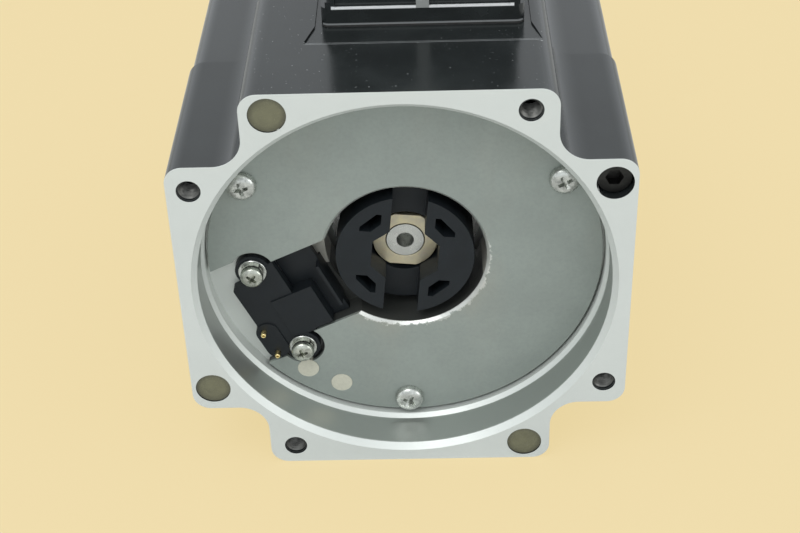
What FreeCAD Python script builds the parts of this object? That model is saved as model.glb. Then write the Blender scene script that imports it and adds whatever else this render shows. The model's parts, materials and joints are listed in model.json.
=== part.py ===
import FreeCAD, Part
import math
import os
import re
import Sketcher

# Flange-mounted servo motor with a holding brake, its rear feedback unit taken off.
# Millimetres. Y runs along the shaft towards the drive end, Z is up. The origin is the
# centre of the mounting face; the rear face of the motor is at minus its length.

SIZES = {
    # outline of the motor body
    "half_width": 87.0, "arm_half": 57.4, "corner_round": 7.0, "notch_round": 11.5,
    "skin_step": 0.8, "casting_length": 81.0, "housing_length": 130.0, "flange_length": 39.0,
    # drive-end flange
    "flange_plate": 16.0, "flange_corner": 9.0, "pilot_radius": 57.15, "pilot_height": 3.2,
    "flange_hole_circle": 200.0, "flange_hole": 6.75,
    # bolts through the whole motor, and the tapped holes between them
    "bolt_near": 47.1, "bolt_far": 78.4, "bolt_bore": 7.0, "bolt_seat": 12.0,
    "bolt_head": 6.5, "bolt_head_height": 8.0, "bolt_shank": 3.6, "bolt_clearance": 0.9,
    "thread_gap": 0.05, "bolt_engagement": 19.0, "socket_flats": 6.0, "socket_depth": 4.0,
    "sealant_sink": 0.8, "tapped_radius": 4.05, "tapped_mouth": 4.6, "tapped_depth": 20.0,
    # rear recess
    "mouth_radius": 82.0, "mouth_depth": 2.4, "recess_radius": 79.8, "recess_depth": 18.3,
    "register_end": 14.5, "register_relief": 0.7,
    "ledge_bore": 79.1, "ledge_chamfer": 1.8, "ledge_inner": 66.0,
    # grey back plate, which is the flange of the brake's magnet body
    "plate_face": 22.0, "plate_thickness": 4.0, "plate_radius": 78.0, "slider_room": 4.9,
    "plate_hole_chamfer": 1.2, "fit_gap": 0.3, "brake_depth": 26.0, "brake_wall": 0.5,
    "slot_left": 21.8, "slot_right": 16.3, "slot_floor": 34.0, "slot_end": 58.5, "deep_end": 49.5,
    "window_left": 28.2, "window_right": 22.8, "window_start": 58.0, "ear_notch": 8.8,
    "connector_angle": 205.0,
    "plate_screw_circle": 71.4, "plate_screw_angle": 30.0, "plate_screw_head": 5.9,
    "plate_screw_height": 4.0, "plate_screw_shank": 3.0, "plate_screw_reach": 9.0,
    "plug_radius": 4.4, "plug_circle": 69.3, "plug_angle_one": 233.0, "plug_angle_two": 246.0,
    "head_chamfer": 0.8, "cross_arm": 2.7, "cross_width": 0.55, "cross_depth": 1.8,
    # brake connector
    "ear_reach": 57.35, "ear_offset": 21.05, "ear_radius": 7.0, "ear_screw_head": 4.6,
    "ear_screw_height": 3.0, "ear_screw_shank": 2.0, "ear_screw_reach": 6.0,
    "spring_washer": 2.0, "spring_washer_radius": 4.4, "flat_washer": 1.0,
    "flat_washer_radius": 5.6, "base_thickness": 3.0, "tower_start": 40.0, "tower_left": 4.6,
    "tower_right": 14.8, "tower_face": 21.4, "rib_start": 33.4, "rib_width": 1.2,
    "rib_face": 23.6, "rib_left": 10.5, "rib_right": 10.5, "bridge_end": 69.4, "bridge_left": 16.9,
    "bridge_round": 2.0, "bridge_overlap": 1.0,
    "socket_reach": 67.1, "socket_half": 4.75, "socket_near": 8.6, "socket_far": 17.2,
    "socket_face": 21.4, "pin_reach": 68.2, "pin_near": 7.4, "pin_far": 19.2,
    "pin_radius": 1.1, "pin_tip": 18.6, "pin_root": 4.0,
    # brake inside
    "coil_wall": 3.6, "coil_outer": 47.0, "coil_length": 9.0, "magnet_inner": 51.0,
    "magnet_outer": 60.0, "magnet_length": 7.0, "armature_gap": 0.3, "armature_length": 5.0,
    "armature_inner": 35.0, "armature_outer": 63.0, "leaf_thickness": 0.5, "leaf_inner": 20.0,
    "leaf_outer": 45.0, "leaf_half": 5.0, "brake_hub_radius": 31.0, "brake_hub_length": 3.2,
    "brake_hub_sleeve": 18.0, "rivet_radius": 2.0, "rivet_height": 1.0,
    # coupling on the rear shaft end
    "shaft_end": 34.5, "tail_radius": 7.5, "tail_gap": 0.35, "centre_hole": 3.5,
    "centre_depth": 12.0, "hub_radius": 13.0, "hub_flat": 11.9, "hub_length": 15.0,
    "tongue_half": 6.0, "tongue_reach": 24.0, "tongue_start": 4.0, "tongue_length": 7.0,
    "coupling_angle": -6.0, "slider_face": 22.9, "slider_radius": 27.5, "slider_length": 22.5,
    "slider_slot": 6.9, "slider_floor": 34.0, "slider_window_half": 13.3,
    "slider_window_side": 5.9, "slider_window_rise": 11.2, "slider_bore": 14.0, "slide_gap": 0.1,
    "vent_near": 10.6, "vent_far": 18.8, "vent_inner": 14.4, "vent_outer": 12.6,
    # rear bearing, 62 x 30 x 16
    "rear_outer": 31.0, "rear_inner": 15.0, "rear_width": 16.0, "rear_ball": 4.76,
    "rear_setback": 1.0, "wave_height": 1.4, "web_lip": 27.0, "web_thickness": 4.0,
    "bearing_boss": 9.0, "cavity_wall": 4.0, "cavity_depth": 13.0, "journal_step": 3.0,
    "wave_inner_gap": 0.5, "wave_outer_gap": 0.3,
    # front bearing, 80 x 35 x 21
    "front_outer": 40.0, "front_inner": 17.5, "front_width": 21.0, "front_ball": 6.5,
    "front_setback": 12.0, "front_lip": 34.0, "lip_thickness": 3.0, "circlip": 2.0,
    "circlip_depth": 2.0, "race_wall": 0.28, "ball_gap": 0.25, "race_gap": 0.02,
    "cage_half": 1.6, "cage_rim": 1.0,
    # oil seal
    "seal_radius": 26.0, "seal_length": 8.0, "seal_hole": 20.0, "lip_gap": 0.05,
    "lip_start": 1.0, "lip_stop": 3.0, "lip_slope": 1.5, "seal_waist": 3.0, "seal_throat": 4.0,
    "seal_sink": 0.4,
    # shared clearances
    "thread_room": 1.0, "tool_run": 1.0, "seat_gap": 0.2, "web_gap": 0.5, "circlip_gap": 1.0,
    "circlip_fit": 0.1,
    # shaft
    "output_radius": 17.5, "output_length": 79.0, "output_chamfer": 1.5, "relief_width": 1.2,
    "relief_depth": 0.4, "shoulder_radius": 22.0, "core_seat": 24.0, "brake_seat": 12.5,
    "tap_radius": 5.0, "tap_depth": 25.0,
    # stator and rotor
    "housing_bore": 76.0, "core_length": 100.0, "stator_bore": 51.2, "slot_inner": 53.5,
    "slot_outer": 68.0, "slot_mouth": 1.5, "tooth_half": 6.0, "winding_inner": 54.5,
    "winding_outer": 67.0, "winding_side": 5.4, "liner": 0.3, "rotor_radius": 45.0,
    "magnet_thickness": 4.5, "magnet_half_angle": 19.0, "sleeve_thickness": 0.8, "bond": 0.05,
    "balance_thickness": 8.0, "balance_outer": 43.0,
    # power connector on top of the body
    "box_middle": 9.0, "box_half": 38.5, "box_start": 52.5, "box_length": 79.5,
    "rim_rise": 7.1, "rim_ledge": 2.0, "box_rise": 41.0, "box_round": 3.0, "box_inner_round": 2.0,
    "box_wall": 6.0, "gasket": 0.8, "pad_start": 39.0, "pad_half": 41.0, "pad_step": 1.6,
    "pad_flare": 3.5, "pad_flare_length": 13.0, "lead_hole": 6.5, "lead_depth": 73.5,
    "lead_drop": 25.0,
    "shell_radius": 20.0, "shell_wall": 2.5, "shell_height": 32.0, "shell_flange": 25.0,
    "shell_flange_height": 4.0, "shell_middle": 96.0, "insert_height": 14.0,
    "contact_radius": 1.5, "contact_rise": 8.0, "contact_circle": 10.5,
    "shell_screw_offset": 20.0, "shell_screw_radius": 2.0, "small_head": 3.5,
    "small_head_height": 2.5, "box_lid": 2.5,
    "lug_offset": 35.0, "lug_half": 1.8, "lug_depth": 5.0, "lug_height": 2.5, "latch_half": 2.4,
}

# Stations along the axis, worked out from the sizes.
STATIONS = {
    "rear_face": "(-(casting_length + housing_length + flange_length))",
    "seam": "(-(housing_length + flange_length))",
    "flange_back": "(-flange_length)",
    "plate_back": "(plate_face + plate_thickness)",
    "brake_front": "(plate_back + brake_depth - plate_thickness)",
    "armature_back": "(brake_front + armature_gap)",
    "leaf_back": "(armature_back + armature_length)",
    "brake_hub_back": "(leaf_back + leaf_thickness)",
    "web_back": "(casting_length - rear_setback - rear_width - wave_height - web_thickness)",
    "rear_bearing_back": "(casting_length - rear_setback - rear_width)",
    "front_bearing_back": "(-(front_setback + front_width))",
    "core_back": "(seam + (housing_length - core_length) / 2)",
    "rear_pitch": "((rear_outer + rear_inner) / 2)",
    "front_pitch": "((front_outer + front_inner) / 2)",
    "plate_hole": "(slider_radius + slider_room)",
    "coil_inner": "(plate_hole + coil_wall)",
    "rim_top": "(half_width + rim_rise)",
    "box_top": "(half_width + box_rise)",
    "magnet_top": "(rotor_radius + magnet_thickness)",
    "housing_half": "(half_width - skin_step)",
    "housing_arm": "(arm_half - skin_step)",
}

TOOTH_COUNT = 12
POLE_COUNT = 8
REAR_BALLS = 9
FRONT_BALLS = 8
CONTACT_COUNT = 6

document = FreeCAD.newDocument("servo_motor")
sheet = document.addObject("Spreadsheet::Sheet", "sizes")
for row, (name, size) in enumerate(SIZES.items(), start=1):
    sheet.set("A%d" % row, name)
    sheet.set("B%d" % row, str(size))
    sheet.setAlias("B%d" % row, name)
document.recompute()


def cell(expression):
    """Write the named sizes and stations in an expression as cells of the sheet."""
    text = str(expression)
    while any(word in STATIONS for word in re.findall(r"[a-z_]+", text)):
        text = re.sub(r"[a-z_]+", lambda word: STATIONS.get(word[0], word[0]), text)
    return re.sub(r"[a-z_]+", lambda word: "sizes." + word[0] if word[0] in SIZES else word[0], text)


def number(expression):
    return float(sheet.evalExpression(cell(expression)))


def behind(depth):
    """The station at a depth behind the rear face."""
    return "(rear_face + %s)" % depth


def minus(expression):
    return "(-(%s))" % expression


# ---------------------------------------------------------------- sketches

def bind(sketch, constraint, expression):
    """Add a constraint whose value follows the sheet."""
    index = sketch.addConstraint(constraint)
    sketch.renameConstraint(index, "size%d" % index)
    sketch.setExpression("Constraints.size%d" % index, cell(expression))


def origin_of(body, role):
    return next(item for item in body.Origin.OriginFeatures if item.Role == role)


def new_sketch(body, role, offset="0", turn=None):
    """A sketch on one of the body's own planes, moved along its normal and turned about it."""
    sketch = body.newObject("Sketcher::SketchObject", "Sketch")
    sketch.AttachmentSupport = [(origin_of(body, role), "")]
    sketch.MapMode = "FlatFace"
    sketch.setExpression("AttachmentOffset.Base.z", cell(offset))
    if turn is not None:
        axis = FreeCAD.Vector(0, 0, 1)
        sketch.AttachmentOffset = FreeCAD.Placement(FreeCAD.Vector(), FreeCAD.Rotation(axis, number(turn)))
        sketch.setExpression("AttachmentOffset.Rotation.Angle", cell(turn))
    return sketch


def face_sketch(body, station, turn=None):
    """A sketch across the shaft axis: sketch x is X, sketch y is Z."""
    return new_sketch(body, "XZ_Plane", minus(station), turn)


def level_sketch(body, height):
    """A flat-lying sketch: sketch x is X, sketch y is the station."""
    return new_sketch(body, "XY_Plane", height)


def circle(sketch, across, up, radius):
    place = FreeCAD.Vector(number(across), number(up), 0)
    index = sketch.addGeometry(Part.Circle(place, FreeCAD.Vector(0, 0, 1), number(radius)))
    bind(sketch, Sketcher.Constraint("DistanceX", -1, 1, index, 3, place.x), across)
    bind(sketch, Sketcher.Constraint("DistanceY", -1, 1, index, 3, place.y), up)
    bind(sketch, Sketcher.Constraint("Radius", index, number(radius)), radius)


def outline(sketch, corners):
    """A closed outline through corners (across, up) or (across, up, rounding)."""
    count = len(corners)
    spots = [FreeCAD.Vector(number(corner[0]), number(corner[1]), 0) for corner in corners]
    rounds = [number(corner[2]) if len(corner) > 2 else 0 for corner in corners]
    marks = []
    for corner, spot in zip(corners, spots):
        mark = sketch.addGeometry(Part.Point(spot), True)
        bind(sketch, Sketcher.Constraint("DistanceX", -1, 1, mark, 1, spot.x), corner[0])
        bind(sketch, Sketcher.Constraint("DistanceY", -1, 1, mark, 1, spot.y), corner[1])
        marks.append(mark)
    sides = []
    for index in range(count):
        ahead = (index + 1) % count
        way = (spots[ahead] - spots[index]).normalize()
        start = spots[index] + way * rounds[index]
        stop = spots[ahead] - way * rounds[ahead]
        sides.append(sketch.addGeometry(Part.LineSegment(start, stop)))
    for index in range(count):
        before = sides[index - 1]
        after = sides[index]
        if not rounds[index]:
            sketch.addConstraint(Sketcher.Constraint("Coincident", before, 2, marks[index], 1))
            sketch.addConstraint(Sketcher.Constraint("Coincident", after, 1, marks[index], 1))
            continue
        coming = (spots[index] - spots[index - 1]).normalize()
        going = (spots[(index + 1) % count] - spots[index]).normalize()
        convex = coming.cross(going).z > 0
        inward = (going - coming) * rounds[index]
        middle = spots[index] + inward
        first = spots[index] - coming * rounds[index] - middle
        last = spots[index] + going * rounds[index] - middle
        ends = (first, last) if convex else (last, first)
        begin = math.atan2(ends[0].y, ends[0].x)
        finish = math.atan2(ends[1].y, ends[1].x)
        ring = Part.Circle(middle, FreeCAD.Vector(0, 0, 1), rounds[index])
        arc = sketch.addGeometry(Part.ArcOfCircle(ring, begin, finish))
        sketch.addConstraint(Sketcher.Constraint("Tangent", before, 2, arc, 1 if convex else 2))
        sketch.addConstraint(Sketcher.Constraint("Tangent", after, 1, arc, 2 if convex else 1))
        sketch.addConstraint(Sketcher.Constraint("PointOnObject", marks[index], 1, before))
        sketch.addConstraint(Sketcher.Constraint("PointOnObject", marks[index], 1, after))
        bind(sketch, Sketcher.Constraint("Radius", arc, rounds[index]), corners[index][2])


def rectangle(sketch, left, right, low, high, rounding=None):
    corners = [(left, low), (right, low), (right, high), (left, high)]
    outline(sketch, [corner + (rounding,) if rounding else corner for corner in corners])


def cross(sketch, across, up):
    """The plan of a cross recess."""
    arm, half = "cross_arm", "cross_width"
    corners = [(arm, minus(half)), (arm, half), (half, half), (half, arm), (minus(half), arm),
               (minus(half), half), (minus(arm), half), (minus(arm), minus(half)),
               (minus(half), minus(half)), (minus(half), minus(arm)), (half, minus(arm)),
               (half, minus(half))]
    outline(sketch, [("%s + %s" % (across, x), "%s + %s" % (up, y)) for x, y in corners])


def hexagon(sketch, across, up, flats):
    reach = "%s / sqrt(3)" % flats
    corners = []
    for step in range(6):
        corners.append(("%s + %s * cos(%d)" % (across, reach, 60 * step),
                        "%s + %s * sin(%d)" % (up, reach, 60 * step)))
    outline(sketch, corners)


def notched_square(sketch, half, arm, rounding, inner_rounding):
    """A square with all four corners notched out, as a body of a tie-bolted motor has."""
    corners = []
    for turn in range(4):
        for along, side, radius in ((half, minus(arm), rounding), (half, arm, rounding),
                                    (arm, arm, inner_rounding)):
            for _ in range(turn):
                along, side = minus(side), along
            corners.append((along, side, radius))
    outline(sketch, corners)


# ---------------------------------------------------------------- bodies

PARTS = []


def new_body(label):
    body = document.addObject("PartDesign::Body", label)
    body.Label = label
    PARTS.append(body)
    return body


def pad(body, sketch, length, forwards=True):
    """Add material from the sketch, towards the drive end unless told otherwise."""
    feature = body.newObject("PartDesign::Pad", "Pad")
    feature.Profile = sketch
    feature.Reversed = forwards
    feature.setExpression("Length", cell(length))
    return feature


def pocket(body, sketch, length, forwards=True):
    """Take material away from the sketch, towards the drive end unless told otherwise."""
    feature = body.newObject("PartDesign::Pocket", "Pocket")
    feature.Profile = sketch
    feature.Reversed = not forwards
    feature.setExpression("Length", cell(length))
    return feature


def around(body, feature, count):
    """Repeat a feature evenly about the shaft axis."""
    pattern = body.newObject("PartDesign::PolarPattern", "PolarPattern")
    pattern.Originals = [feature]
    pattern.Axis = (origin_of(body, "Y_Axis"), [""])
    pattern.Angle = 360
    pattern.Occurrences = count
    body.Tip = pattern
    return pattern


def turned(label, profile):
    """A ring or shaft turned about the shaft axis from corners (radius, station)."""
    body = new_body(label)
    sketch = new_sketch(body, "XY_Plane")
    outline(sketch, profile)
    spin(body, sketch, "PartDesign::Revolution")
    return body


def spin(body, sketch, kind):
    feature = body.newObject(kind, "Turn")
    feature.Profile = sketch
    feature.ReferenceAxis = (sketch, ["V_Axis"])
    feature.Angle = 360
    return feature


def bore_out(body, profile):
    """Turn away the inside of a body between corners (radius, station)."""
    sketch = new_sketch(body, "XY_Plane")
    outline(sketch, profile)
    return spin(body, sketch, "PartDesign::Groove")


def ring_profile(inner, outer, start, length):
    stop = "%s + %s" % (start, length)
    return [(inner, start), (outer, start), (outer, stop), (inner, stop)]


def drill(body, station, length, spots, forwards=True, turn=None):
    """Round holes at spots (across, up, radius)."""
    sketch = face_sketch(body, station, turn)
    for spot in spots:
        circle(sketch, *spot)
    return pocket(body, sketch, length, forwards)


def studs(body, station, length, spots, forwards=True, turn=None):
    sketch = face_sketch(body, station, turn)
    for spot in spots:
        circle(sketch, *spot)
    return pad(body, sketch, length, forwards)


def polar(radius, angle):
    return "%s * cos(%s)" % (radius, angle), "%s * sin(%s)" % (radius, angle)


def quarter_turns(across, up):
    """The four places that quarter turns about the axis give."""
    return [(across, up), (minus(up), across), (minus(across), minus(up)), (up, minus(across))]


TIE_BOLTS = quarter_turns("bolt_far", "bolt_near")
TAPPED_HOLES = quarter_turns("bolt_near", "bolt_far")
PLATE_SCREWS = [polar("plate_screw_circle", "(plate_screw_angle + %d)" % turn) for turn in (0, 120, 240)]
EARS = [("ear_reach", minus("ear_offset")), ("ear_reach", "ear_offset")]


# ---------------------------------------------------------------- castings

def rear_casting():
    body = new_body("rear_casting")
    sketch = face_sketch(body, "rear_face")
    notched_square(sketch, "half_width", "arm_half", "corner_round", "notch_round")
    pad(body, sketch, "casting_length")
    bore_out(body, [
        ("0", "rear_face"), ("mouth_radius", "rear_face"), ("recess_radius", behind("mouth_depth")),
        ("recess_radius", behind("register_end")),
        ("recess_radius + register_relief", behind("register_end")),
        ("recess_radius + register_relief", behind("recess_depth")),
        ("ledge_bore", behind("recess_depth + ledge_chamfer")), ("ledge_bore", behind("plate_back")),
        ("ledge_inner", behind("plate_back")), ("ledge_inner", behind("web_back")),
        ("web_lip", behind("web_back")), ("web_lip", behind("web_back + web_thickness")),
        ("rear_outer + race_gap", behind("web_back + web_thickness")),
        ("rear_outer + race_gap", "seam"), ("0", "seam")])
    bore_out(body, ring_profile("rear_outer + bearing_boss", "housing_bore - cavity_wall",
                                "seam - cavity_depth", "cavity_depth"))
    document.recompute()
    drill(body, "rear_face", "bolt_seat", [spot + ("bolt_bore",) for spot in TIE_BOLTS])
    drill(body, "rear_face", "casting_length",
          [spot + ("bolt_shank + bolt_clearance",) for spot in TIE_BOLTS])
    drill(body, "rear_face", "tapped_depth", [spot + ("tapped_radius",) for spot in TAPPED_HOLES])
    drill(body, "rear_face", "tapped_mouth - tapped_radius",
          [spot + ("tapped_mouth",) for spot in TAPPED_HOLES])
    drill(body, behind("plate_back"), "plate_screw_reach + thread_room",
          [spot + ("plate_screw_shank + thread_gap",) for spot in PLATE_SCREWS])
    for start, drop in (("pad_start - pad_step", "skin_step / 2"), ("pad_start", "skin_step")):
        pad_sketch = level_sketch(body, "half_width - %s" % drop)
        flare = behind("%s + pad_flare_length" % start)
        outline(pad_sketch, [
            ("box_middle - pad_half - pad_flare", behind(start)),
            ("box_middle + pad_half + pad_flare", behind(start)),
            ("box_middle + pad_half", flare), ("box_middle + pad_half", "seam"),
            ("box_middle - pad_half", "seam"), ("box_middle - pad_half", flare)])
        pocket(body, pad_sketch, "skin_step", False)
    hole = new_sketch(body, "XY_Plane", "housing_half - lead_drop")
    circle(hole, "box_middle", behind("lead_depth"), "lead_hole")
    pocket(body, hole, "lead_drop", False)
    return body


def stator_housing():
    body = new_body("stator_housing")
    sketch = face_sketch(body, "seam")
    notched_square(sketch, "housing_half", "housing_arm", "corner_round", "notch_round")
    circle(sketch, "0", "0", "housing_bore")
    pad(body, sketch, "housing_length")
    document.recompute()
    drill(body, "seam", "housing_length",
          [spot + ("bolt_shank + bolt_clearance",) for spot in TIE_BOLTS])
    return body


def front_flange():
    body = new_body("front_flange")
    neck = face_sketch(body, "flange_back")
    notched_square(neck, "half_width", "arm_half", "corner_round", "notch_round")
    pad(body, neck, "flange_length")
    plate = face_sketch(body, "-flange_plate")
    rectangle(plate, "-half_width", "half_width", "-half_width", "half_width", "flange_corner")
    pad(body, plate, "flange_plate")
    studs(body, "0", "pilot_height", [("0", "0", "pilot_radius")])
    seal_floor = "(pilot_height - seal_length - seat_gap)"
    shoulder = "(-front_setback)"
    bore_out(body, [
        ("0", "flange_back"), ("front_outer + race_gap", "flange_back"),
        ("front_outer + race_gap", shoulder), ("front_lip", shoulder),
        ("front_lip", shoulder + " + lip_thickness"), ("seal_hole", shoulder + " + lip_thickness"),
        ("seal_hole", seal_floor), ("seal_radius + race_gap", seal_floor),
        ("seal_radius + race_gap", "pilot_height"), ("0", "pilot_height")])
    bore_out(body, ring_profile("front_outer - tool_run", "front_outer + circlip_depth",
                                "front_bearing_back - circlip - seat_gap", "circlip + seat_gap"))
    document.recompute()
    corner = "flange_hole_circle / 2 / sqrt(2)"
    drill(body, "-flange_plate", "flange_plate",
          [spot + ("flange_hole",) for spot in quarter_turns(corner, corner)])
    drill(body, "flange_back", "bolt_engagement + thread_room",
          [spot + ("bolt_shank + thread_gap",) for spot in TIE_BOLTS])
    return body


# ---------------------------------------------------------------- bolts and plugs

def tie_bolts():
    body = new_body("tie_bolts")
    seat = behind("bolt_seat")
    studs(body, seat, "flange_back + bolt_engagement - %s" % seat,
          [spot + ("bolt_shank",) for spot in TIE_BOLTS])
    studs(body, seat, "bolt_head_height", [spot + ("bolt_head",) for spot in TIE_BOLTS], False)
    document.recompute()
    sketch = face_sketch(body, behind("bolt_seat - bolt_head_height"))
    for across, up in TIE_BOLTS:
        hexagon(sketch, across, up, "socket_flats")
    pocket(body, sketch, "socket_depth")


def sealant_plugs():
    """Sealing compound over the heads of three of the four tie bolts."""
    body = new_body("sealant_plugs")
    studs(body, behind("sealant_sink"), "bolt_seat - bolt_head_height - sealant_sink",
          [spot + ("bolt_bore - thread_gap",) for spot in TIE_BOLTS[1:]])


def headed_screws(label, seat, spots, head, height, shank, reach, turn=None):
    """Screws whose heads stand towards the rear and carry a cross recess."""
    body = new_body(label)
    full = [spot + (head,) for spot in spots]
    studs(body, seat, "%s - head_chamfer" % height, full, False, turn)
    top = "%s - %s" % (seat, height)
    studs(body, top + " + head_chamfer", "head_chamfer",
          [spot + ("%s - head_chamfer" % head,) for spot in spots], False, turn)
    studs(body, seat, reach, [spot + (shank,) for spot in spots], True, turn)
    document.recompute()
    sketch = face_sketch(body, top, turn)
    for across, up in spots:
        cross(sketch, across, up)
    pocket(body, sketch, "cross_depth")


def plate_screws():
    headed_screws("plate_screws", behind("plate_face"), PLATE_SCREWS, "plate_screw_head",
                  "plate_screw_height", "plate_screw_shank", "plate_thickness + plate_screw_reach")


def plate_plugs():
    body = new_body("plate_plugs")
    spots = [polar("plug_circle", angle) + ("plug_radius",)
             for angle in ("plug_angle_one", "plug_angle_two")]
    studs(body, behind("plate_face"), "plate_thickness", spots)


# ---------------------------------------------------------------- brake

def brake_magnet_body():
    """Steel magnet body of the brake; its flange is the grey back plate."""
    face = behind("plate_face")
    body = turned("brake_magnet_body", [
        ("plate_hole + plate_hole_chamfer", face), ("plate_radius", face),
        ("plate_radius", behind("plate_back")), ("ledge_inner - brake_wall", behind("plate_back")),
        ("ledge_inner - brake_wall", behind("brake_front")), ("plate_hole", behind("brake_front")),
        ("plate_hole", face + " + plate_hole_chamfer")])
    bore_out(body, ring_profile("coil_inner", "coil_outer", behind("brake_front - coil_length"),
                                "coil_length"))
    bore_out(body, ring_profile("magnet_inner", "magnet_outer",
                                behind("brake_front - magnet_length"), "magnet_length"))
    document.recompute()
    slot = face_sketch(body, face, "connector_angle")
    rectangle(slot, "plate_hole / 2", "slot_end", minus("slot_left"), "slot_right")
    pocket(body, slot, "plate_thickness")
    deep = face_sketch(body, face, "connector_angle")
    rectangle(deep, "plate_hole / 2", "deep_end", minus("slot_left"), "slot_right")
    pocket(body, deep, "slot_floor - plate_face")
    window = face_sketch(body, face, "connector_angle")
    rectangle(window, "window_start", "plate_radius + tool_run", minus("window_left"), "window_right")
    pocket(body, window, "plate_thickness")
    drill(body, face, "plate_thickness", [spot + ("ear_notch",) for spot in EARS],
          turn="connector_angle")
    drill(body, behind("plate_back"), "ear_screw_reach",
          [spot + ("ear_screw_shank + thread_gap",) for spot in EARS], turn="connector_angle")
    drill(body, face, "plate_thickness",
          [spot + ("plate_screw_shank + thread_gap",) for spot in PLATE_SCREWS])
    plugs = [polar("plug_circle", angle) + ("plug_radius + thread_gap",)
             for angle in ("plug_angle_one", "plug_angle_two")]
    drill(body, face, "plate_thickness", plugs)


def brake_coil():
    turned("brake_coil", ring_profile("coil_inner + fit_gap", "coil_outer - fit_gap",
                                      behind("brake_front - coil_length"), "coil_length - fit_gap"))


def brake_ring_magnet():
    turned("brake_ring_magnet", ring_profile("magnet_inner + fit_gap", "magnet_outer - fit_gap",
                                             behind("brake_front - magnet_length"),
                                             "magnet_length - fit_gap"))


def brake_armature():
    turned("brake_armature", ring_profile("armature_inner", "armature_outer",
                                          behind("armature_back"), "armature_length"))


def brake_leaf_springs():
    body = new_body("brake_leaf_springs")
    sketch = face_sketch(body, behind("leaf_back"))
    rectangle(sketch, "leaf_inner", "leaf_outer", minus("leaf_half"), "leaf_half")
    around(body, pad(body, sketch, "leaf_thickness"), 3)


def brake_hub():
    turned("brake_hub", [
        ("brake_seat + race_gap", behind("brake_hub_back")),
        ("brake_hub_radius", behind("brake_hub_back")),
        ("brake_hub_radius", behind("brake_hub_back + brake_hub_length")),
        ("brake_hub_sleeve", behind("brake_hub_back + brake_hub_length")),
        ("brake_hub_sleeve", behind("web_back - web_gap")),
        ("brake_seat + race_gap", behind("web_back - web_gap"))])


def brake_rivets():
    """Rivets that hold the leaf springs down on the brake hub, on their rear side."""
    body = new_body("brake_rivets")
    sketch = face_sketch(body, behind("leaf_back"))
    circle(sketch, "(leaf_inner + brake_hub_radius) / 2", "0", "rivet_radius")
    around(body, pad(body, sketch, "rivet_height", False), 3)


# ---------------------------------------------------------------- brake connector

def connector_housing():
    body = new_body("connector_housing")
    turn = "connector_angle"
    left = minus("slot_left - fit_gap")
    right = "slot_right - fit_gap"

    def block(face, floor, start, stop, low, high, rounding=None):
        sketch = face_sketch(body, behind(face), turn)
        rectangle(sketch, start, stop, low, high, rounding)
        pad(body, sketch, "%s - %s" % (floor, face))

    block("slot_floor - base_thickness", "slot_floor", "rib_start", "deep_end - fit_gap", left, right)
    block("tower_face", "slot_floor", "tower_start", "deep_end - fit_gap", minus("tower_left"),
          "tower_right")
    block("tower_face", "plate_back", "deep_end - bridge_overlap", "slot_end - fit_gap",
          minus("tower_left"), "tower_right")
    block("rib_face", "slot_floor", "rib_start", "rib_start + rib_width", minus("rib_left"),
          "rib_right")
    block("plate_face", "plate_back", "deep_end - bridge_overlap", "slot_end - fit_gap", left, right)
    block("plate_face", "plate_back", "slot_end - bridge_overlap - bridge_round", "bridge_end",
          minus("bridge_left"), right, "bridge_round")
    studs(body, behind("plate_face"), "plate_thickness", [spot + ("ear_radius",) for spot in EARS],
          True, turn)
    stadium = face_sketch(body, behind("socket_face"), turn)
    rectangle(stadium, "socket_reach - socket_half", "socket_reach + socket_half",
              "socket_near - socket_half", "socket_far + socket_half", "socket_half - race_gap")
    pad(body, stadium, "plate_back - socket_face")
    document.recompute()
    drill(body, behind("plate_face"), "plate_thickness",
          [spot + ("ear_screw_shank + thread_gap",) for spot in EARS], True, turn)
    drill(body, behind("socket_face"), "pin_root",
          [("pin_reach", "pin_near", "pin_radius + thread_gap"),
           ("pin_reach", "pin_far", "pin_radius + thread_gap")], True, turn)


def connector_pins():
    body = new_body("connector_pins")
    studs(body, behind("pin_tip"), "socket_face + pin_root - pin_tip",
          [("pin_reach", "pin_near", "pin_radius"), ("pin_reach", "pin_far", "pin_radius")],
          True, "connector_angle")


def ear_washers(label, face, thickness, radius):
    body = new_body(label)
    sketch = face_sketch(body, behind(face), "connector_angle")
    for across, up in EARS:
        circle(sketch, across, up, radius)
        circle(sketch, across, up, "ear_screw_shank + thread_gap")
    pad(body, sketch, thickness)


def ear_fasteners():
    ear_washers("ear_flat_washers", "plate_face - flat_washer", "flat_washer", "flat_washer_radius")
    ear_washers("ear_spring_washers", "plate_face - flat_washer - spring_washer", "spring_washer",
                "spring_washer_radius")
    headed_screws("ear_screws", behind("plate_face - flat_washer - spring_washer"), EARS,
                  "ear_screw_head", "ear_screw_height", "ear_screw_shank",
                  "spring_washer + flat_washer + plate_thickness + ear_screw_reach - thread_room",
                  "connector_angle")


# ---------------------------------------------------------------- coupling

def coupling_hub():
    """Hub on the shaft end, with a tongue that drives the slider."""
    body = new_body("coupling_hub")
    turn = "coupling_angle"
    studs(body, behind("shaft_end"), "hub_length", [("0", "0", "hub_radius")], True, turn)
    tongue = face_sketch(body, behind("shaft_end + tongue_start"), turn)
    rectangle(tongue, minus("tongue_reach"), "tongue_reach", minus("tongue_half"), "tongue_half")
    pad(body, tongue, "tongue_length")
    document.recompute()
    for side in (1, -1):
        flat = face_sketch(body, behind("shaft_end"), turn)
        edges = ["%d * hub_flat" % side, "%d * (hub_radius + tool_run)" % side]
        edges.sort(key=number)
        rectangle(flat, minus("hub_radius + tool_run"), "hub_radius + tool_run", edges[0], edges[1])
        pocket(body, flat, "hub_length")
    drill(body, behind("shaft_end"), "hub_length", [("0", "0", "tail_radius + tail_gap")])


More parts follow.
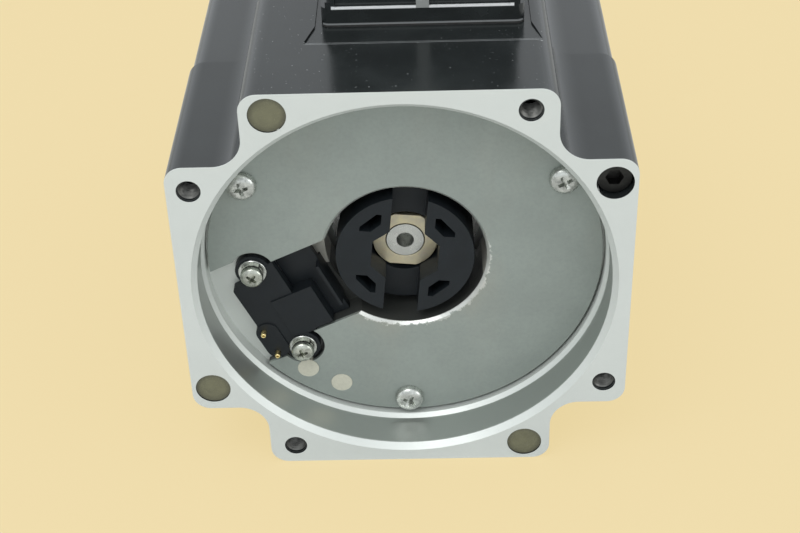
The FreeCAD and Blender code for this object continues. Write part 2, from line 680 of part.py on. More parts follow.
def coupling_slider():
    """Plastic disc with a slot on each face, at right angles to each other."""
    body = new_body("coupling_slider")
    turn = "coupling_angle"
    front = behind("slider_face")
    studs(body, front, "slider_length", [("0", "0", "slider_radius")], True, turn)
    reach = "(slider_radius + tool_run)"
    slot = face_sketch(body, front, turn)
    rectangle(slot, minus("slider_slot"), "slider_slot", minus(reach), reach)
    pocket(body, slot, "slider_floor - slider_face")
    window = face_sketch(body, front, turn)
    half, side, rise = "slider_window_half", "slider_window_side", "slider_window_rise"
    outline(window, [(half, minus(side)), (half, side), ("slider_slot", rise),
                     (minus("slider_slot"), rise), (minus(half), side), (minus(half), minus(side)),
                     (minus("slider_slot"), minus(rise)), ("slider_slot", minus(rise))])
    pocket(body, window, "slider_length")
    document.recompute()
    drill(body, behind("slider_floor"), "slider_length", [("0", "0", "slider_bore")], True, turn)
    tongue = face_sketch(body, behind("shaft_end + tongue_start - fit_gap"), turn)
    rise = "(tongue_half + slide_gap)"
    rectangle(tongue, minus(reach), reach, minus(rise), rise)
    pocket(body, tongue, "slider_length")
    near, far, inner, outer = "vent_near", "vent_far", "vent_inner", "vent_outer"
    vents = [(near, inner), (near, far), (outer, far), (far, outer), (far, near), (inner, near)]
    for across, up in ((1, 1), (-1, 1), (-1, -1), (1, -1)):
        vent = face_sketch(body, front, turn)
        outline(vent, [("%d * %s" % (across, x), "%d * %s" % (up, z)) for x, z in vents])
        pocket(body, vent, "slider_length")


# ---------------------------------------------------------------- shaft and rotor

def shaft():
    rear_journal = "(rear_bearing_back + rear_width)"
    body = turned("shaft", [
        ("0", behind("shaft_end")), ("tail_radius", behind("shaft_end")),
        ("tail_radius", behind("shaft_end + hub_length")),
        ("brake_seat", behind("shaft_end + hub_length")), ("brake_seat", behind("rear_bearing_back")),
        ("rear_inner - race_gap", behind("rear_bearing_back")),
        ("rear_inner - race_gap", behind(rear_journal)),
        ("rear_inner + journal_step", behind(rear_journal)),
        ("rear_inner + journal_step", "core_back - balance_thickness"),
        ("core_seat", "core_back - balance_thickness"),
        ("core_seat", "core_back + core_length + balance_thickness"),
        ("shoulder_radius", "core_back + core_length + balance_thickness"),
        ("shoulder_radius", "front_bearing_back"),
        ("front_inner - race_gap", "front_bearing_back"), ("front_inner - race_gap", "-front_setback"),
        ("output_radius", "-front_setback"), ("output_radius", "pilot_height + seat_gap"),
        ("output_radius - relief_depth", "pilot_height + seat_gap"),
        ("output_radius - relief_depth", "pilot_height + seat_gap + relief_width"),
        ("output_radius", "pilot_height + seat_gap + relief_width"),
        ("output_radius", "output_length - output_chamfer"),
        ("output_radius - output_chamfer", "output_length"), ("0", "output_length")])
    document.recompute()
    drill(body, behind("shaft_end"), "centre_depth", [("0", "0", "centre_hole")])
    drill(body, "output_length - tap_depth", "tap_depth", [("0", "0", "tap_radius")])


def rotor_core():
    turned("rotor_core", ring_profile("core_seat", "rotor_radius", "core_back", "core_length"))


def rotor_magnets():
    """One curved magnet for each pole, bonded on the rotor core."""
    body = new_body("rotor_magnets")
    sketch = new_sketch(body, "XY_Plane")
    rectangle(sketch, "rotor_radius + bond", "magnet_top - bond", "core_back",
              "core_back + core_length")
    feature = body.newObject("PartDesign::Revolution", "Turn")
    feature.Profile = sketch
    feature.ReferenceAxis = (sketch, ["V_Axis"])
    feature.Midplane = True
    feature.setExpression("Angle", cell("2 * magnet_half_angle"))
    around(body, feature, POLE_COUNT)


def rotor_parts():
    turned("magnet_sleeve", ring_profile("magnet_top", "magnet_top + sleeve_thickness", "core_back",
                                         "core_length"))
    for label, start in (("rear_balance_ring", "core_back - balance_thickness"),
                         ("front_balance_ring", "core_back + core_length")):
        turned(label, ring_profile("core_seat", "balance_outer", start, "balance_thickness"))


# ---------------------------------------------------------------- stator

def stator_core():
    body = new_body("stator_core")
    sketch = face_sketch(body, "core_back")
    circle(sketch, "0", "0", "housing_bore")
    circle(sketch, "0", "0", "stator_bore")
    pad(body, sketch, "core_length")
    document.recompute()
    half_pitch = 180 // TOOTH_COUNT
    slot = face_sketch(body, "core_back", str(half_pitch))
    side = "(%%s * tan(%d) - tooth_half / cos(%d))" % (half_pitch, half_pitch)
    low = side % "slot_inner"
    high = side % "slot_outer"
    outline(slot, [("stator_bore - tool_run", minus("slot_mouth")), ("slot_inner", minus("slot_mouth")),
                   ("slot_inner", minus(low)), ("slot_outer", minus(high)), ("slot_outer", high),
                   ("slot_inner", low), ("slot_inner", "slot_mouth"),
                   ("stator_bore - tool_run", "slot_mouth")])
    around(body, pocket(body, slot, "core_length"), TOOTH_COUNT)


def stator_coils():
    body = new_body("stator_coils")
    sketch = new_sketch(body, "YZ_Plane", "winding_inner")
    for grow in ("liner", "liner + winding_side"):
        half = "(tooth_half + %s)" % grow
        rectangle(sketch, "core_back - (%s)" % grow, "core_back + core_length + %s" % grow,
                  minus(half), half)
    around(body, pad(body, sketch, "winding_outer - winding_inner", False), TOOTH_COUNT)


# ---------------------------------------------------------------- bearings and seal

def spheres(label, radius, pitch, middle, count):
    balls = []
    for index in range(count):
        ball = document.addObject("Part::Sphere", label + "_ball")
        angle = 360.0 * index / count
        ball.setExpression("Radius", cell(radius))
        ball.setExpression("Placement.Base.x", cell("%s * cos(%.6f)" % (pitch, angle)))
        ball.setExpression("Placement.Base.y", cell(middle))
        ball.setExpression("Placement.Base.z", cell("%s * sin(%.6f)" % (pitch, angle)))
        balls.append(ball)
    group = document.addObject("Part::Compound", label)
    group.Label = label
    group.Links = balls
    PARTS.append(group)


def ball_bearing(name, outer, inner, width, ball, start, count):
    """Outer race, inner race, balls and a cage that the balls carry round."""
    pitch = name + "_pitch"
    middle = "(%s + %s / 2)" % (start, width)
    wall = "(race_wall * (%s - %s))" % (outer, inner)
    for label, low, high in ((name + "_outer_race", "%s - %s" % (outer, wall), outer),
                             (name + "_inner_race", inner, "%s + %s" % (inner, wall))):
        body = turned(label, ring_profile(low, high, start, width))
        track = new_sketch(body, "XY_Plane")
        circle(track, pitch, middle, "%s + ball_gap" % ball)
        spin(body, track, "PartDesign::Groove")
    spheres(name + "_balls", ball, pitch, middle, count)
    cage = turned(name + "_cage", ring_profile(
        "%s - cage_half" % pitch, "%s + cage_half" % pitch,
        "%s - %s - ball_gap - cage_rim" % (middle, ball), "2 * (%s + ball_gap + cage_rim)" % ball))
    document.recompute()
    window = new_sketch(cage, "YZ_Plane")
    circle(window, middle, "0", "%s + ball_gap" % ball)
    around(cage, pocket(cage, window, outer, False), count)


def bearings():
    ball_bearing("rear", "rear_outer", "rear_inner", "rear_width", "rear_ball",
                 behind("rear_bearing_back"), REAR_BALLS)
    ball_bearing("front", "front_outer", "front_inner", "front_width", "front_ball",
                 "front_bearing_back", FRONT_BALLS)
    turned("wave_spring", ring_profile("web_lip + wave_inner_gap", "rear_outer - wave_outer_gap",
                                       behind("web_back + web_thickness"), "wave_height"))
    turned("bearing_circlip", ring_profile("front_lip + circlip_gap",
                                           "front_outer + circlip_depth - circlip_fit",
                                           "front_bearing_back - circlip", "circlip"))


def oil_seal():
    start = "(pilot_height - seal_length)"
    back = start + " + seal_length - seal_sink"
    turned("oil_seal", [
        ("output_radius + lip_gap", start + " + lip_start"), ("output_radius + lip_slope", start),
        ("seal_radius", start), ("seal_radius", back), ("output_radius + seal_throat", back),
        ("output_radius + seal_waist", start + " + seal_length / 2"),
        ("output_radius + lip_gap", start + " + lip_stop")])


# ---------------------------------------------------------------- power connector

def connector_gasket():
    body = new_body("connector_gasket")
    sketch = level_sketch(body, "housing_half")
    rectangle(sketch, "box_middle - box_half", "box_middle + box_half", behind("box_start"),
              behind("box_start + box_length"), "box_round")
    rectangle(sketch, "box_middle - box_half + box_wall", "box_middle + box_half - box_wall",
              behind("box_start + box_wall"), behind("box_start + box_length - box_wall"),
              "box_inner_round")
    pad(body, sketch, "gasket", False)


SHELL_CORNERS = [("box_middle + (%d) * shell_screw_offset" % side,
                  "%s + (%d) * shell_screw_offset" % (behind("shell_middle"), way))
                 for side in (-1, 1) for way in (-1, 1)]


def connector_box():
    body = new_body("connector_box")
    outer = level_sketch(body, "housing_half + gasket")
    rectangle(outer, "box_middle - box_half", "box_middle + box_half", behind("box_start"),
              behind("box_start + box_length"), "box_round")
    pad(body, outer, "rim_top - housing_half - gasket", False)
    upper = level_sketch(body, "rim_top")
    rectangle(upper, "box_middle - box_half + rim_ledge", "box_middle + box_half - rim_ledge",
              behind("box_start + rim_ledge"), behind("box_start + box_length - rim_ledge"),
              "box_round")
    pad(body, upper, "box_top - rim_top", False)
    document.recompute()
    inner = level_sketch(body, "housing_half + gasket")
    rectangle(inner, "box_middle - box_half + box_wall", "box_middle + box_half - box_wall",
              behind("box_start + box_wall"), behind("box_start + box_length - box_wall"),
              "box_inner_round")
    pocket(body, inner, "box_top - housing_half - gasket - box_lid", False)
    neck = level_sketch(body, "housing_half + gasket")
    circle(neck, "box_middle", behind("shell_middle"), "shell_radius - shell_wall")
    for across, up in SHELL_CORNERS:
        circle(neck, across, up, "shell_screw_radius")
    pocket(body, neck, "box_top - housing_half - gasket", False)
    for middle, half in (("box_middle - lug_offset", "lug_half"), ("box_middle", "latch_half"),
                         ("box_middle + lug_offset", "lug_half")):
        lug = level_sketch(body, "rim_top")
        rectangle(lug, "%s - %s" % (middle, half), "%s + %s" % (middle, half),
                  behind("box_start"), behind("box_start + lug_depth"))
        pad(body, lug, "lug_height", False)


def level_screws(label, height, spots, reach):
    """Socket screws that point down."""
    body = new_body(label)
    heads = level_sketch(body, height)
    for across, up in spots:
        circle(heads, across, up, "small_head")
    pad(body, heads, "small_head_height", False)
    shanks = level_sketch(body, height)
    for across, up in spots:
        circle(shanks, across, up, "shell_screw_radius - thread_gap")
    pad(body, shanks, reach, True)
    document.recompute()
    keys = level_sketch(body, "%s + small_head_height" % height)
    for across, up in spots:
        hexagon(keys, across, up, "small_head * 0.75")
    pocket(body, keys, "small_head_height * 0.6")


def power_receptacle():
    body = new_body("power_receptacle")
    sketch = level_sketch(body, "box_top")
    half = "shell_flange"
    middle = behind("shell_middle")
    rectangle(sketch, "box_middle - %s" % half, "box_middle + %s" % half, "%s - %s" % (middle, half),
              "%s + %s" % (middle, half), "small_head")
    pad(body, sketch, "shell_flange_height", False)
    tube = level_sketch(body, "box_top")
    circle(tube, "box_middle", middle, "shell_radius")
    pad(body, tube, "shell_height", False)
    document.recompute()
    hollow = level_sketch(body, "box_top")
    circle(hollow, "box_middle", middle, "shell_radius - shell_wall")
    for across, up in SHELL_CORNERS:
        circle(hollow, across, up, "shell_screw_radius")
    pocket(body, hollow, "shell_height", False)


CONTACTS = [("box_middle + contact_circle * cos(%d)" % (360 // CONTACT_COUNT * step),
             "%s + contact_circle * sin(%d)" % (behind("shell_middle"), 360 // CONTACT_COUNT * step))
            for step in range(CONTACT_COUNT)] + [("box_middle", behind("shell_middle"))]


def receptacle_insert():
    body = new_body("receptacle_insert")
    sketch = level_sketch(body, "box_top")
    circle(sketch, "box_middle", behind("shell_middle"), "shell_radius - shell_wall - thread_gap")
    for across, up in CONTACTS:
        circle(sketch, across, up, "contact_radius + thread_gap")
    pad(body, sketch, "insert_height", False)


def receptacle_contacts():
    body = new_body("receptacle_contacts")
    sketch = level_sketch(body, "box_top")
    for across, up in CONTACTS:
        circle(sketch, across, up, "contact_radius")
    pad(body, sketch, "insert_height + contact_rise", False)


def power_connector():
    connector_gasket()
    connector_box()
    power_receptacle()
    receptacle_insert()
    receptacle_contacts()
    level_screws("receptacle_screws", "box_top + shell_flange_height", SHELL_CORNERS,
                 "shell_flange_height + box_lid - thread_gap")


# ---------------------------------------------------------------- whole motor

rear_casting()
stator_housing()
front_flange()
tie_bolts()
sealant_plugs()
plate_screws()
plate_plugs()
brake_magnet_body()
brake_coil()
brake_ring_magnet()
brake_armature()
brake_leaf_springs()
brake_hub()
brake_rivets()
connector_housing()
connector_pins()
ear_fasteners()
coupling_hub()
coupling_slider()
shaft()
rotor_core()
rotor_magnets()
rotor_parts()
stator_core()
stator_coils()
bearings()
oil_seal()
power_connector()
document.recompute()

for item in document.Objects:
    if "Invalid" in item.State or "Error" in item.State:
        raise RuntimeError("%s did not build: %s" % (item.Label, item.State))
os.makedirs("parts", exist_ok=True)
for item in PARTS:
    if item.Shape.isNull() or not item.Shape.isValid():
        raise RuntimeError("%s has no valid shape" % item.Label)
    print("%-24s %2d solids %10.1f mm3" % (item.Label, len(item.Shape.Solids), item.Shape.Volume))
    item.Shape.exportStep("parts/%s.step" % item.Label)
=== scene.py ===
import json
import math

import bmesh
import bpy
from bpy.props import FloatProperty, FloatVectorProperty, IntProperty, PointerProperty
from mathutils import Matrix, Vector, noise


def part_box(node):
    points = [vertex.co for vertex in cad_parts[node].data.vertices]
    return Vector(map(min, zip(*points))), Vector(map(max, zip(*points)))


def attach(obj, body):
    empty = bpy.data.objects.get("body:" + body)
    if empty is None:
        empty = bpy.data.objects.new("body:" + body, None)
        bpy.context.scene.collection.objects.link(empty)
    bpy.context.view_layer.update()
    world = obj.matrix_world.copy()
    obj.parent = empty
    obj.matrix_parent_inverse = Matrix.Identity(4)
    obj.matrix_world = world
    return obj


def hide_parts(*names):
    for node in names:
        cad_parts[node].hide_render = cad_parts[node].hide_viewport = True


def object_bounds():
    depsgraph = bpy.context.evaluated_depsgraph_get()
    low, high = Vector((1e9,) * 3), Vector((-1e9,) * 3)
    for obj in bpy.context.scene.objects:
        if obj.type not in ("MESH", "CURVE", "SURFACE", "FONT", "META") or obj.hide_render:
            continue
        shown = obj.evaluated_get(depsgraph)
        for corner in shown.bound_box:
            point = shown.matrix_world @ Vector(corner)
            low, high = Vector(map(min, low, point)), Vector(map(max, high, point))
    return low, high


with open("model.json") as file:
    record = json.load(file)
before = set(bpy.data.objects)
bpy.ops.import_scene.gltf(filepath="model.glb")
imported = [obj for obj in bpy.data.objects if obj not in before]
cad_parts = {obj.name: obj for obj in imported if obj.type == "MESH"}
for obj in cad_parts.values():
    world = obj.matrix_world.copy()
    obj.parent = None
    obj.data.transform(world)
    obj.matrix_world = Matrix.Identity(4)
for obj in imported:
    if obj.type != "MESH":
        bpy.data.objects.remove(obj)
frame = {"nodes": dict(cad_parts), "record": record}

bl_info = {
    "name": "Servo motor looks",
    "version": (1, 0, 0),
    "blender": (4, 5, 0),
    "location": "View3D > Sidebar > Servo motor",
    "description": "Finishes, screws, sealant and castings of a servo motor with an open rear end",
    "category": "Object",
}

CAD_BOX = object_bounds()
MM = 0.001
FULL_TURN = 2 * math.pi


# ---------------------------------------------------------------- places, read from the frame

def solids_of(node):
    """(low corner, high corner) of each separate solid of a CAD node, left to right."""
    mesh = bmesh.new()
    mesh.from_mesh(frame["nodes"][node].data)
    bmesh.ops.remove_doubles(mesh, verts=mesh.verts, dist=1e-6)
    todo = set(mesh.verts)
    boxes = []
    while todo:
        front = [todo.pop()]
        members = list(front)
        while front:
            for edge in front.pop().link_edges:
                for vertex in edge.verts:
                    if vertex in todo:
                        todo.discard(vertex)
                        front.append(vertex)
                        members.append(vertex)
        low = Vector(min(v.co[axis] for v in members) for axis in range(3))
        high = Vector(max(v.co[axis] for v in members) for axis in range(3))
        boxes.append((low, high))
    mesh.free()
    return sorted(boxes, key=lambda box: (round(box[0].x, 5), round(box[0].z, 5)))


def middle(box):
    return (box[0] + box[1]) / 2


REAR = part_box("rear_casting")[0].y
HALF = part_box("rear_casting")[1].x
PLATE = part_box("brake_magnet_body")[0].y
PLATE_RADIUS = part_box("brake_magnet_body")[1].x
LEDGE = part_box("plate_plugs")[1].y
BOX_LOW, BOX_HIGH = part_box("connector_box")
BOX_MIDDLE = (BOX_LOW.x + BOX_HIGH.x) / 2
BOX_HALF = (BOX_HIGH.x - BOX_LOW.x) / 2
SLIDER_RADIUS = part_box("coupling_slider")[1].x

# depths behind the rear face
FACE_SKIN = 0.12 * MM
MOUTH = (2.2 * MM, 3.2 * MM)
SHOULDER = (17.9 * MM, 18.5 * MM)
TAPPED_MOUTH = 1.1 * MM

# margins of the finishes
RECESS_MARGIN = 6.5 * MM
LEDGE_MARGIN = 0.4 * MM
TOP_SKIN = 1.5 * MM
TOP_DUST_SKIN = 2.0 * MM
PAD_MARGIN = 6.0 * MM
HOLE_ROOM = 5.0 * MM
HOLE_CHAMFER = 1.4 * MM
LATCH_HALF = 2.5 * MM
LATCH_DEPTH = 5.2 * MM
LUG_MARGIN = 4.0 * MM

# angles in degrees: faces that meet flatter than SMOOTH shade as one, edges past EDGE are broken
SMOOTH = 30
SMOOTH_POURED = 60
SMOOTH_PIN = 50
EDGE = 28
FLAT = 0.5

# pan-head screws, as shares of the head's radius or height where no unit stands
DOME_STEPS = 8
DOME_WIDTH = 0.97
DOME_POWER = 0.8
DOME_HEIGHT = 0.55
DOME_SINK = 0.02 * MM
HEAD_RIM = 0.62
HEAD_FOOT = (0.15 * MM, 0.2 * MM)
SHANK = 0.5
RECESS_ARM = 0.6
RECESS_HALF = 0.13
RECESS_DEPTH = 2.1 * MM
RECESS_START = 0.5 * MM
RECESS_TAPER = 0.42
RECESS_NOTCH = 1.35

# washers of the ear screws
SPLIT_START = 0.8
SPLIT_GAP = math.radians(9)
SPLIT_WIDTH = 1.5 * MM
SPLIT_THICK = 0.62
SPLIT_STEPS = 60
FLAT_WASHER_BORE = 2.2 * MM
FLAT_WASHER_EDGE = 0.18 * MM

# ridges of the tapped holes, as shares of the pitch where no unit stands
THREAD_TURNS = 8
THREAD_STEPS = 40
THREAD_DEPTH = 0.5
THREAD_FLANK = 0.4
THREAD_BURY = 0.05 * MM

# stage
FLOOR_HALF = 6.0
FLOOR_GLOW = 0.88
KEY_LAMP = (Vector((-0.3, -0.5, 0.95)), 4.0)
FILL_LAMP = (Vector((0.9, -0.5, 0.3)), 1.5)
LAMP_SIZE = 0.6
SKY = (0.93, 0.97, 1.0, 1)
SKY_STRENGTH = 1.0
AIM = (-1.5 * MM, 11.5 * MM)
SENSOR_WIDTH = 36.0
NEAR_CLIP = 0.01


# ---------------------------------------------------------------- settings a user would change

class ServoFinish(bpy.types.PropertyGroup):
    """Colours and finish of the motor."""
    paint: FloatVectorProperty(name="Body paint", description="Semi-gloss paint of the castings",
                               subtype="COLOR", default=(0.012, 0.0145, 0.0145), min=0, max=1)
    aluminium: FloatVectorProperty(name="Machined aluminium", description="Rear face and recess",
                                   subtype="COLOR", default=(0.69, 0.72, 0.685), min=0, max=1)
    plate: FloatVectorProperty(name="Back plate", description="Matt grey steel of the plate",
                               subtype="COLOR", default=(0.318, 0.355, 0.325), min=0, max=1)
    sealant: FloatVectorProperty(name="Sealing compound", description="Filling over the tie bolts",
                                 subtype="COLOR", default=(0.15, 0.145, 0.08), min=0, max=1)
    hub: FloatVectorProperty(name="Coupling hub", description="Yellow passivated steel",
                             subtype="COLOR", default=(0.6, 0.54, 0.36), min=0, max=1)
    plastic: FloatVectorProperty(name="Moulded plastic", description="Slider and connector",
                                 subtype="COLOR", default=(0.008, 0.0105, 0.0125), min=0, max=1)
    potting: FloatVectorProperty(name="Potting", description="Cream plugs in the plate",
                                 subtype="COLOR", default=(0.56, 0.55, 0.45), min=0, max=1)


class ServoSizes(bpy.types.PropertyGroup):
    """Fine sizes that only the looks need."""
    edge: FloatProperty(name="Broken edge", description="Width of the broken edges of castings",
                        default=0.45 * MM, min=0, unit="LENGTH")
    fine_edge: FloatProperty(name="Fine edge", description="Width of the edges of small pieces",
                             default=0.22 * MM, min=0, unit="LENGTH")
    thread_pitch: FloatProperty(name="Thread pitch", description="Pitch of the tapped holes",
                                default=1.25 * MM, min=0.1 * MM, unit="LENGTH")
    pad_front: FloatProperty(name="Pad front", description="Rear face to the step of the top pad",
                             default=39.0 * MM, min=0, unit="LENGTH")
    pad_step: FloatProperty(name="Pad step", description="Width of the pad's stepped front edge",
                            default=1.6 * MM, min=0, unit="LENGTH")
    rim_rise: FloatProperty(name="Rim rise", description="Connector base's rim above the motor",
                            default=7.1 * MM, min=0, unit="LENGTH")
    segments: IntProperty(name="Segments", description="Sides of a small round piece",
                          default=64, min=12, max=256)


class ServoStage(bpy.types.PropertyGroup):
    """Floor, camera and lamps."""
    floor: FloatVectorProperty(name="Floor", description="Colour of the floor and backdrop",
                               subtype="COLOR", default=(0.896, 0.73, 0.387), min=0, max=1)
    azimuth: FloatProperty(name="Azimuth", description="Camera's bearing", subtype="ANGLE",
                           default=math.radians(-1.58))
    elevation: FloatProperty(name="Elevation", description="Camera's height angle",
                             subtype="ANGLE", default=math.radians(35.54))
    roll: FloatProperty(name="Roll", description="Camera's roll", subtype="ANGLE",
                        default=math.radians(-2.04))
    distance: FloatProperty(name="Distance", description="Camera to rear face",
                            default=0.5957, unit="LENGTH")
    lens: FloatProperty(name="Lens", description="Focal length in millimetres",
                        subtype="DISTANCE_CAMERA", default=70.6)


# ---------------------------------------------------------------- shader maths

class Wire:
    """A value in a material. Arithmetic on it adds Math nodes."""

    def __init__(self, shader, socket):
        self.shader = shader
        self.socket = socket

    def maths(self, operation, first, second=0.0):
        return self.shader.node("ShaderNodeMath", {"operation": operation}, {0: first, 1: second})

    def __add__(self, other):
        return self.maths("ADD", self, other)

    def __radd__(self, other):
        return self.maths("ADD", other, self)

    def __sub__(self, other):
        return self.maths("SUBTRACT", self, other)

    def __rsub__(self, other):
        return self.maths("SUBTRACT", other, self)

    def __mul__(self, other):
        return self.maths("MULTIPLY", self, other)

    def __rmul__(self, other):
        return self.maths("MULTIPLY", other, self)

    def __pow__(self, other):
        return self.maths("POWER", self, other)

    def __lt__(self, other):
        return self.maths("LESS_THAN", self, other)

    def __gt__(self, other):
        return self.maths("GREATER_THAN", self, other)

    def least(self, other):
        return self.maths("MINIMUM", self, other)

    def most(self, other):
        return self.maths("MAXIMUM", self, other)

    def sine(self):
        return self.maths("SINE", self)

    def size(self):
        return self.maths("ABSOLUTE", self)


class Shader:
    """A procedural material round one Principled shader."""

    def __init__(self, name, **fixed):
        self.material = bpy.data.materials.new(name)
        self.material.use_nodes = True
        self.tree = self.material.node_tree
        self.surface = self.tree.nodes["Principled BSDF"]
        for label, value in fixed.items():
            self.surface.inputs[label.replace("_", " ")].default_value = value
        self.place = self.node("ShaderNodeTexCoord", {}, {}, "Object")

    def node(self, kind, settings, inputs, output=0):
        """Add a node of any kind, set it up, wire its inputs and return one output."""
        made = self.tree.nodes.new(kind)
        for label, value in settings.items():
            if label == "stops":
                ramp = made.color_ramp
                while len(ramp.elements) < len(value):
                    ramp.elements.new(0.5)
                for element, (position, level) in zip(ramp.elements, value):
                    element.position = position
                    element.color = (level, level, level, 1)
            else:
                setattr(made, label, value)
        for label, value in inputs.items():
            socket = made.inputs[label]
            if isinstance(value, Wire):
                self.tree.links.new(value.socket, socket)
            elif isinstance(value, (tuple, list, Vector)) and socket.type == "RGBA":
                socket.default_value = (*value[:3], 1)
            else:
                socket.default_value = value
        return Wire(self, made.outputs[output])

    def feed(self, label, value):
        """Wire a value into the Principled shader."""
        self.tree.links.new(value.socket, self.surface.inputs[label])

    def axes(self):
        """X, Y and Z of the place on the surface."""
        split = self.node("ShaderNodeSeparateXYZ", {}, {0: self.place})
        outputs = split.socket.node.outputs
        return [Wire(self, outputs[index]) for index in range(3)]

    def radius(self, across=0.0, up=0.0):
        """Distance from an axis along Y through (across, up)."""
        x, _, z = self.axes()
        x, z = x - across, z - up
        return (x * x + z * z) ** 0.5

    def stretched(self, x, y, z):
        return self.node("ShaderNodeMapping", {}, {"Vector": self.place, "Scale": (x, y, z)})

    def cloud(self, scale, detail=4.0, roughness=0.55, place=None):
        return self.node("ShaderNodeTexNoise", {}, {
            "Vector": place or self.place, "Scale": scale, "Detail": detail,
            "Roughness": roughness})

    def ramp(self, value, *stops):
        return self.node("ShaderNodeValToRGB", {"stops": stops}, {0: value})

    def between(self, value, low, high):
        """0 below low, 1 above high and a straight slope between them."""
        return self.node("ShaderNodeMapRange", {"clamp": True},
                         {"Value": value, "From Min": low, "From Max": high})

    def line(self, value, place, half):
        """1 on a thin line and 0 away from it."""
        return 1 - self.between((value - place).size(), half * 0.6, half)

    def blend(self, mask, first, second):
        return self.node("ShaderNodeMix", {"data_type": "RGBA"}, {0: mask, 6: first, 7: second}, 2)

    def bump(self, height, strength, distance):
        self.feed("Normal", self.node("ShaderNodeBump", {}, {
            "Strength": strength, "Distance": distance, "Height": height}))


def shade(colour, factor):
    return tuple(min(1.0, channel * factor) for channel in colour)


# ---------------------------------------------------------------- materials

def finish_settings():
    return bpy.context.scene.servo_finish


def black_paint():
    """Semi-gloss black paint with orange peel, dust and fine scratches."""
    colour = tuple(finish_settings().paint)
    shader = Shader("black_paint", Coat_Roughness=0.2, Coat_Weight=0.15)
    dust = shader.ramp(shader.cloud(38, 6, 0.6), (0.42, 0), (0.78, 1))
    lines = shader.cloud(260, 3, 0.7, shader.stretched(1.0, 0.06, 1.0))
    scratches = shader.ramp(lines, (0.68, 0), (0.74, 1))
    tone = shader.blend(dust * 0.35, colour, shade(colour, 2.6))
    shader.feed("Base Color", shader.blend(scratches * 0.3, tone, shade(colour, 6)))
    shader.feed("Roughness", 0.17 + dust * 0.12 + scratches * 0.1)
    peel = shader.cloud(700, 2, 0.5)
    shader.bump(peel * 0.7 + scratches * 0.3, 0.22, 0.12 * MM)
    return shader.material


def box_finish():
    """The connector base: black paint, a light rim line that is both a painted highlight and paint
    rubbed through, a painted highlight along its foot, and a bare latch.
    """
    paint = tuple(finish_settings().paint)
    shader = Shader("box_finish", Coat_Roughness=0.2, Coat_Weight=0.15)
    x, y, z = shader.axes()
    rim = HALF + bpy.context.scene.servo_sizes.rim_rise
    dust = shader.ramp(shader.cloud(60, 6, 0.6), (0.42, 0), (0.78, 1))
    across = (x - BOX_MIDDLE).size()
    rear = y < BOX_LOW.y + 1.2 * MM
    between_lugs = (across < BOX_HALF - LUG_MARGIN) * (across > LATCH_HALF)
    # Light line along the rim between the lugs: a painted highlight, and also paint rubbed through
    # to metal.
    wear_and_highlight = shader.line(z, rim, 0.75 * MM) * rear * between_lugs
    # Light line along the foot of the rear wall: a painted highlight.
    foot = shader.line(z, BOX_LOW.z, 0.9 * MM) * rear
    latch = (across < LATCH_HALF) * (z > rim - 0.6 * MM) * (y < BOX_LOW.y + LATCH_DEPTH)
    tone = shader.blend(dust * 0.4, paint, shade(paint, 2.6))
    tone = shader.blend(foot * 0.8, tone, (0.26, 0.27, 0.27))
    tone = shader.blend(wear_and_highlight, tone, (0.75, 0.76, 0.76))
    shader.feed("Base Color", shader.blend(latch, tone, (0.27, 0.28, 0.27)))
    shader.feed("Roughness", 0.2 + dust * 0.12 + latch * 0.2)
    shader.bump(shader.cloud(700, 2, 0.5), 0.22, 0.12 * MM)
    return shader.material


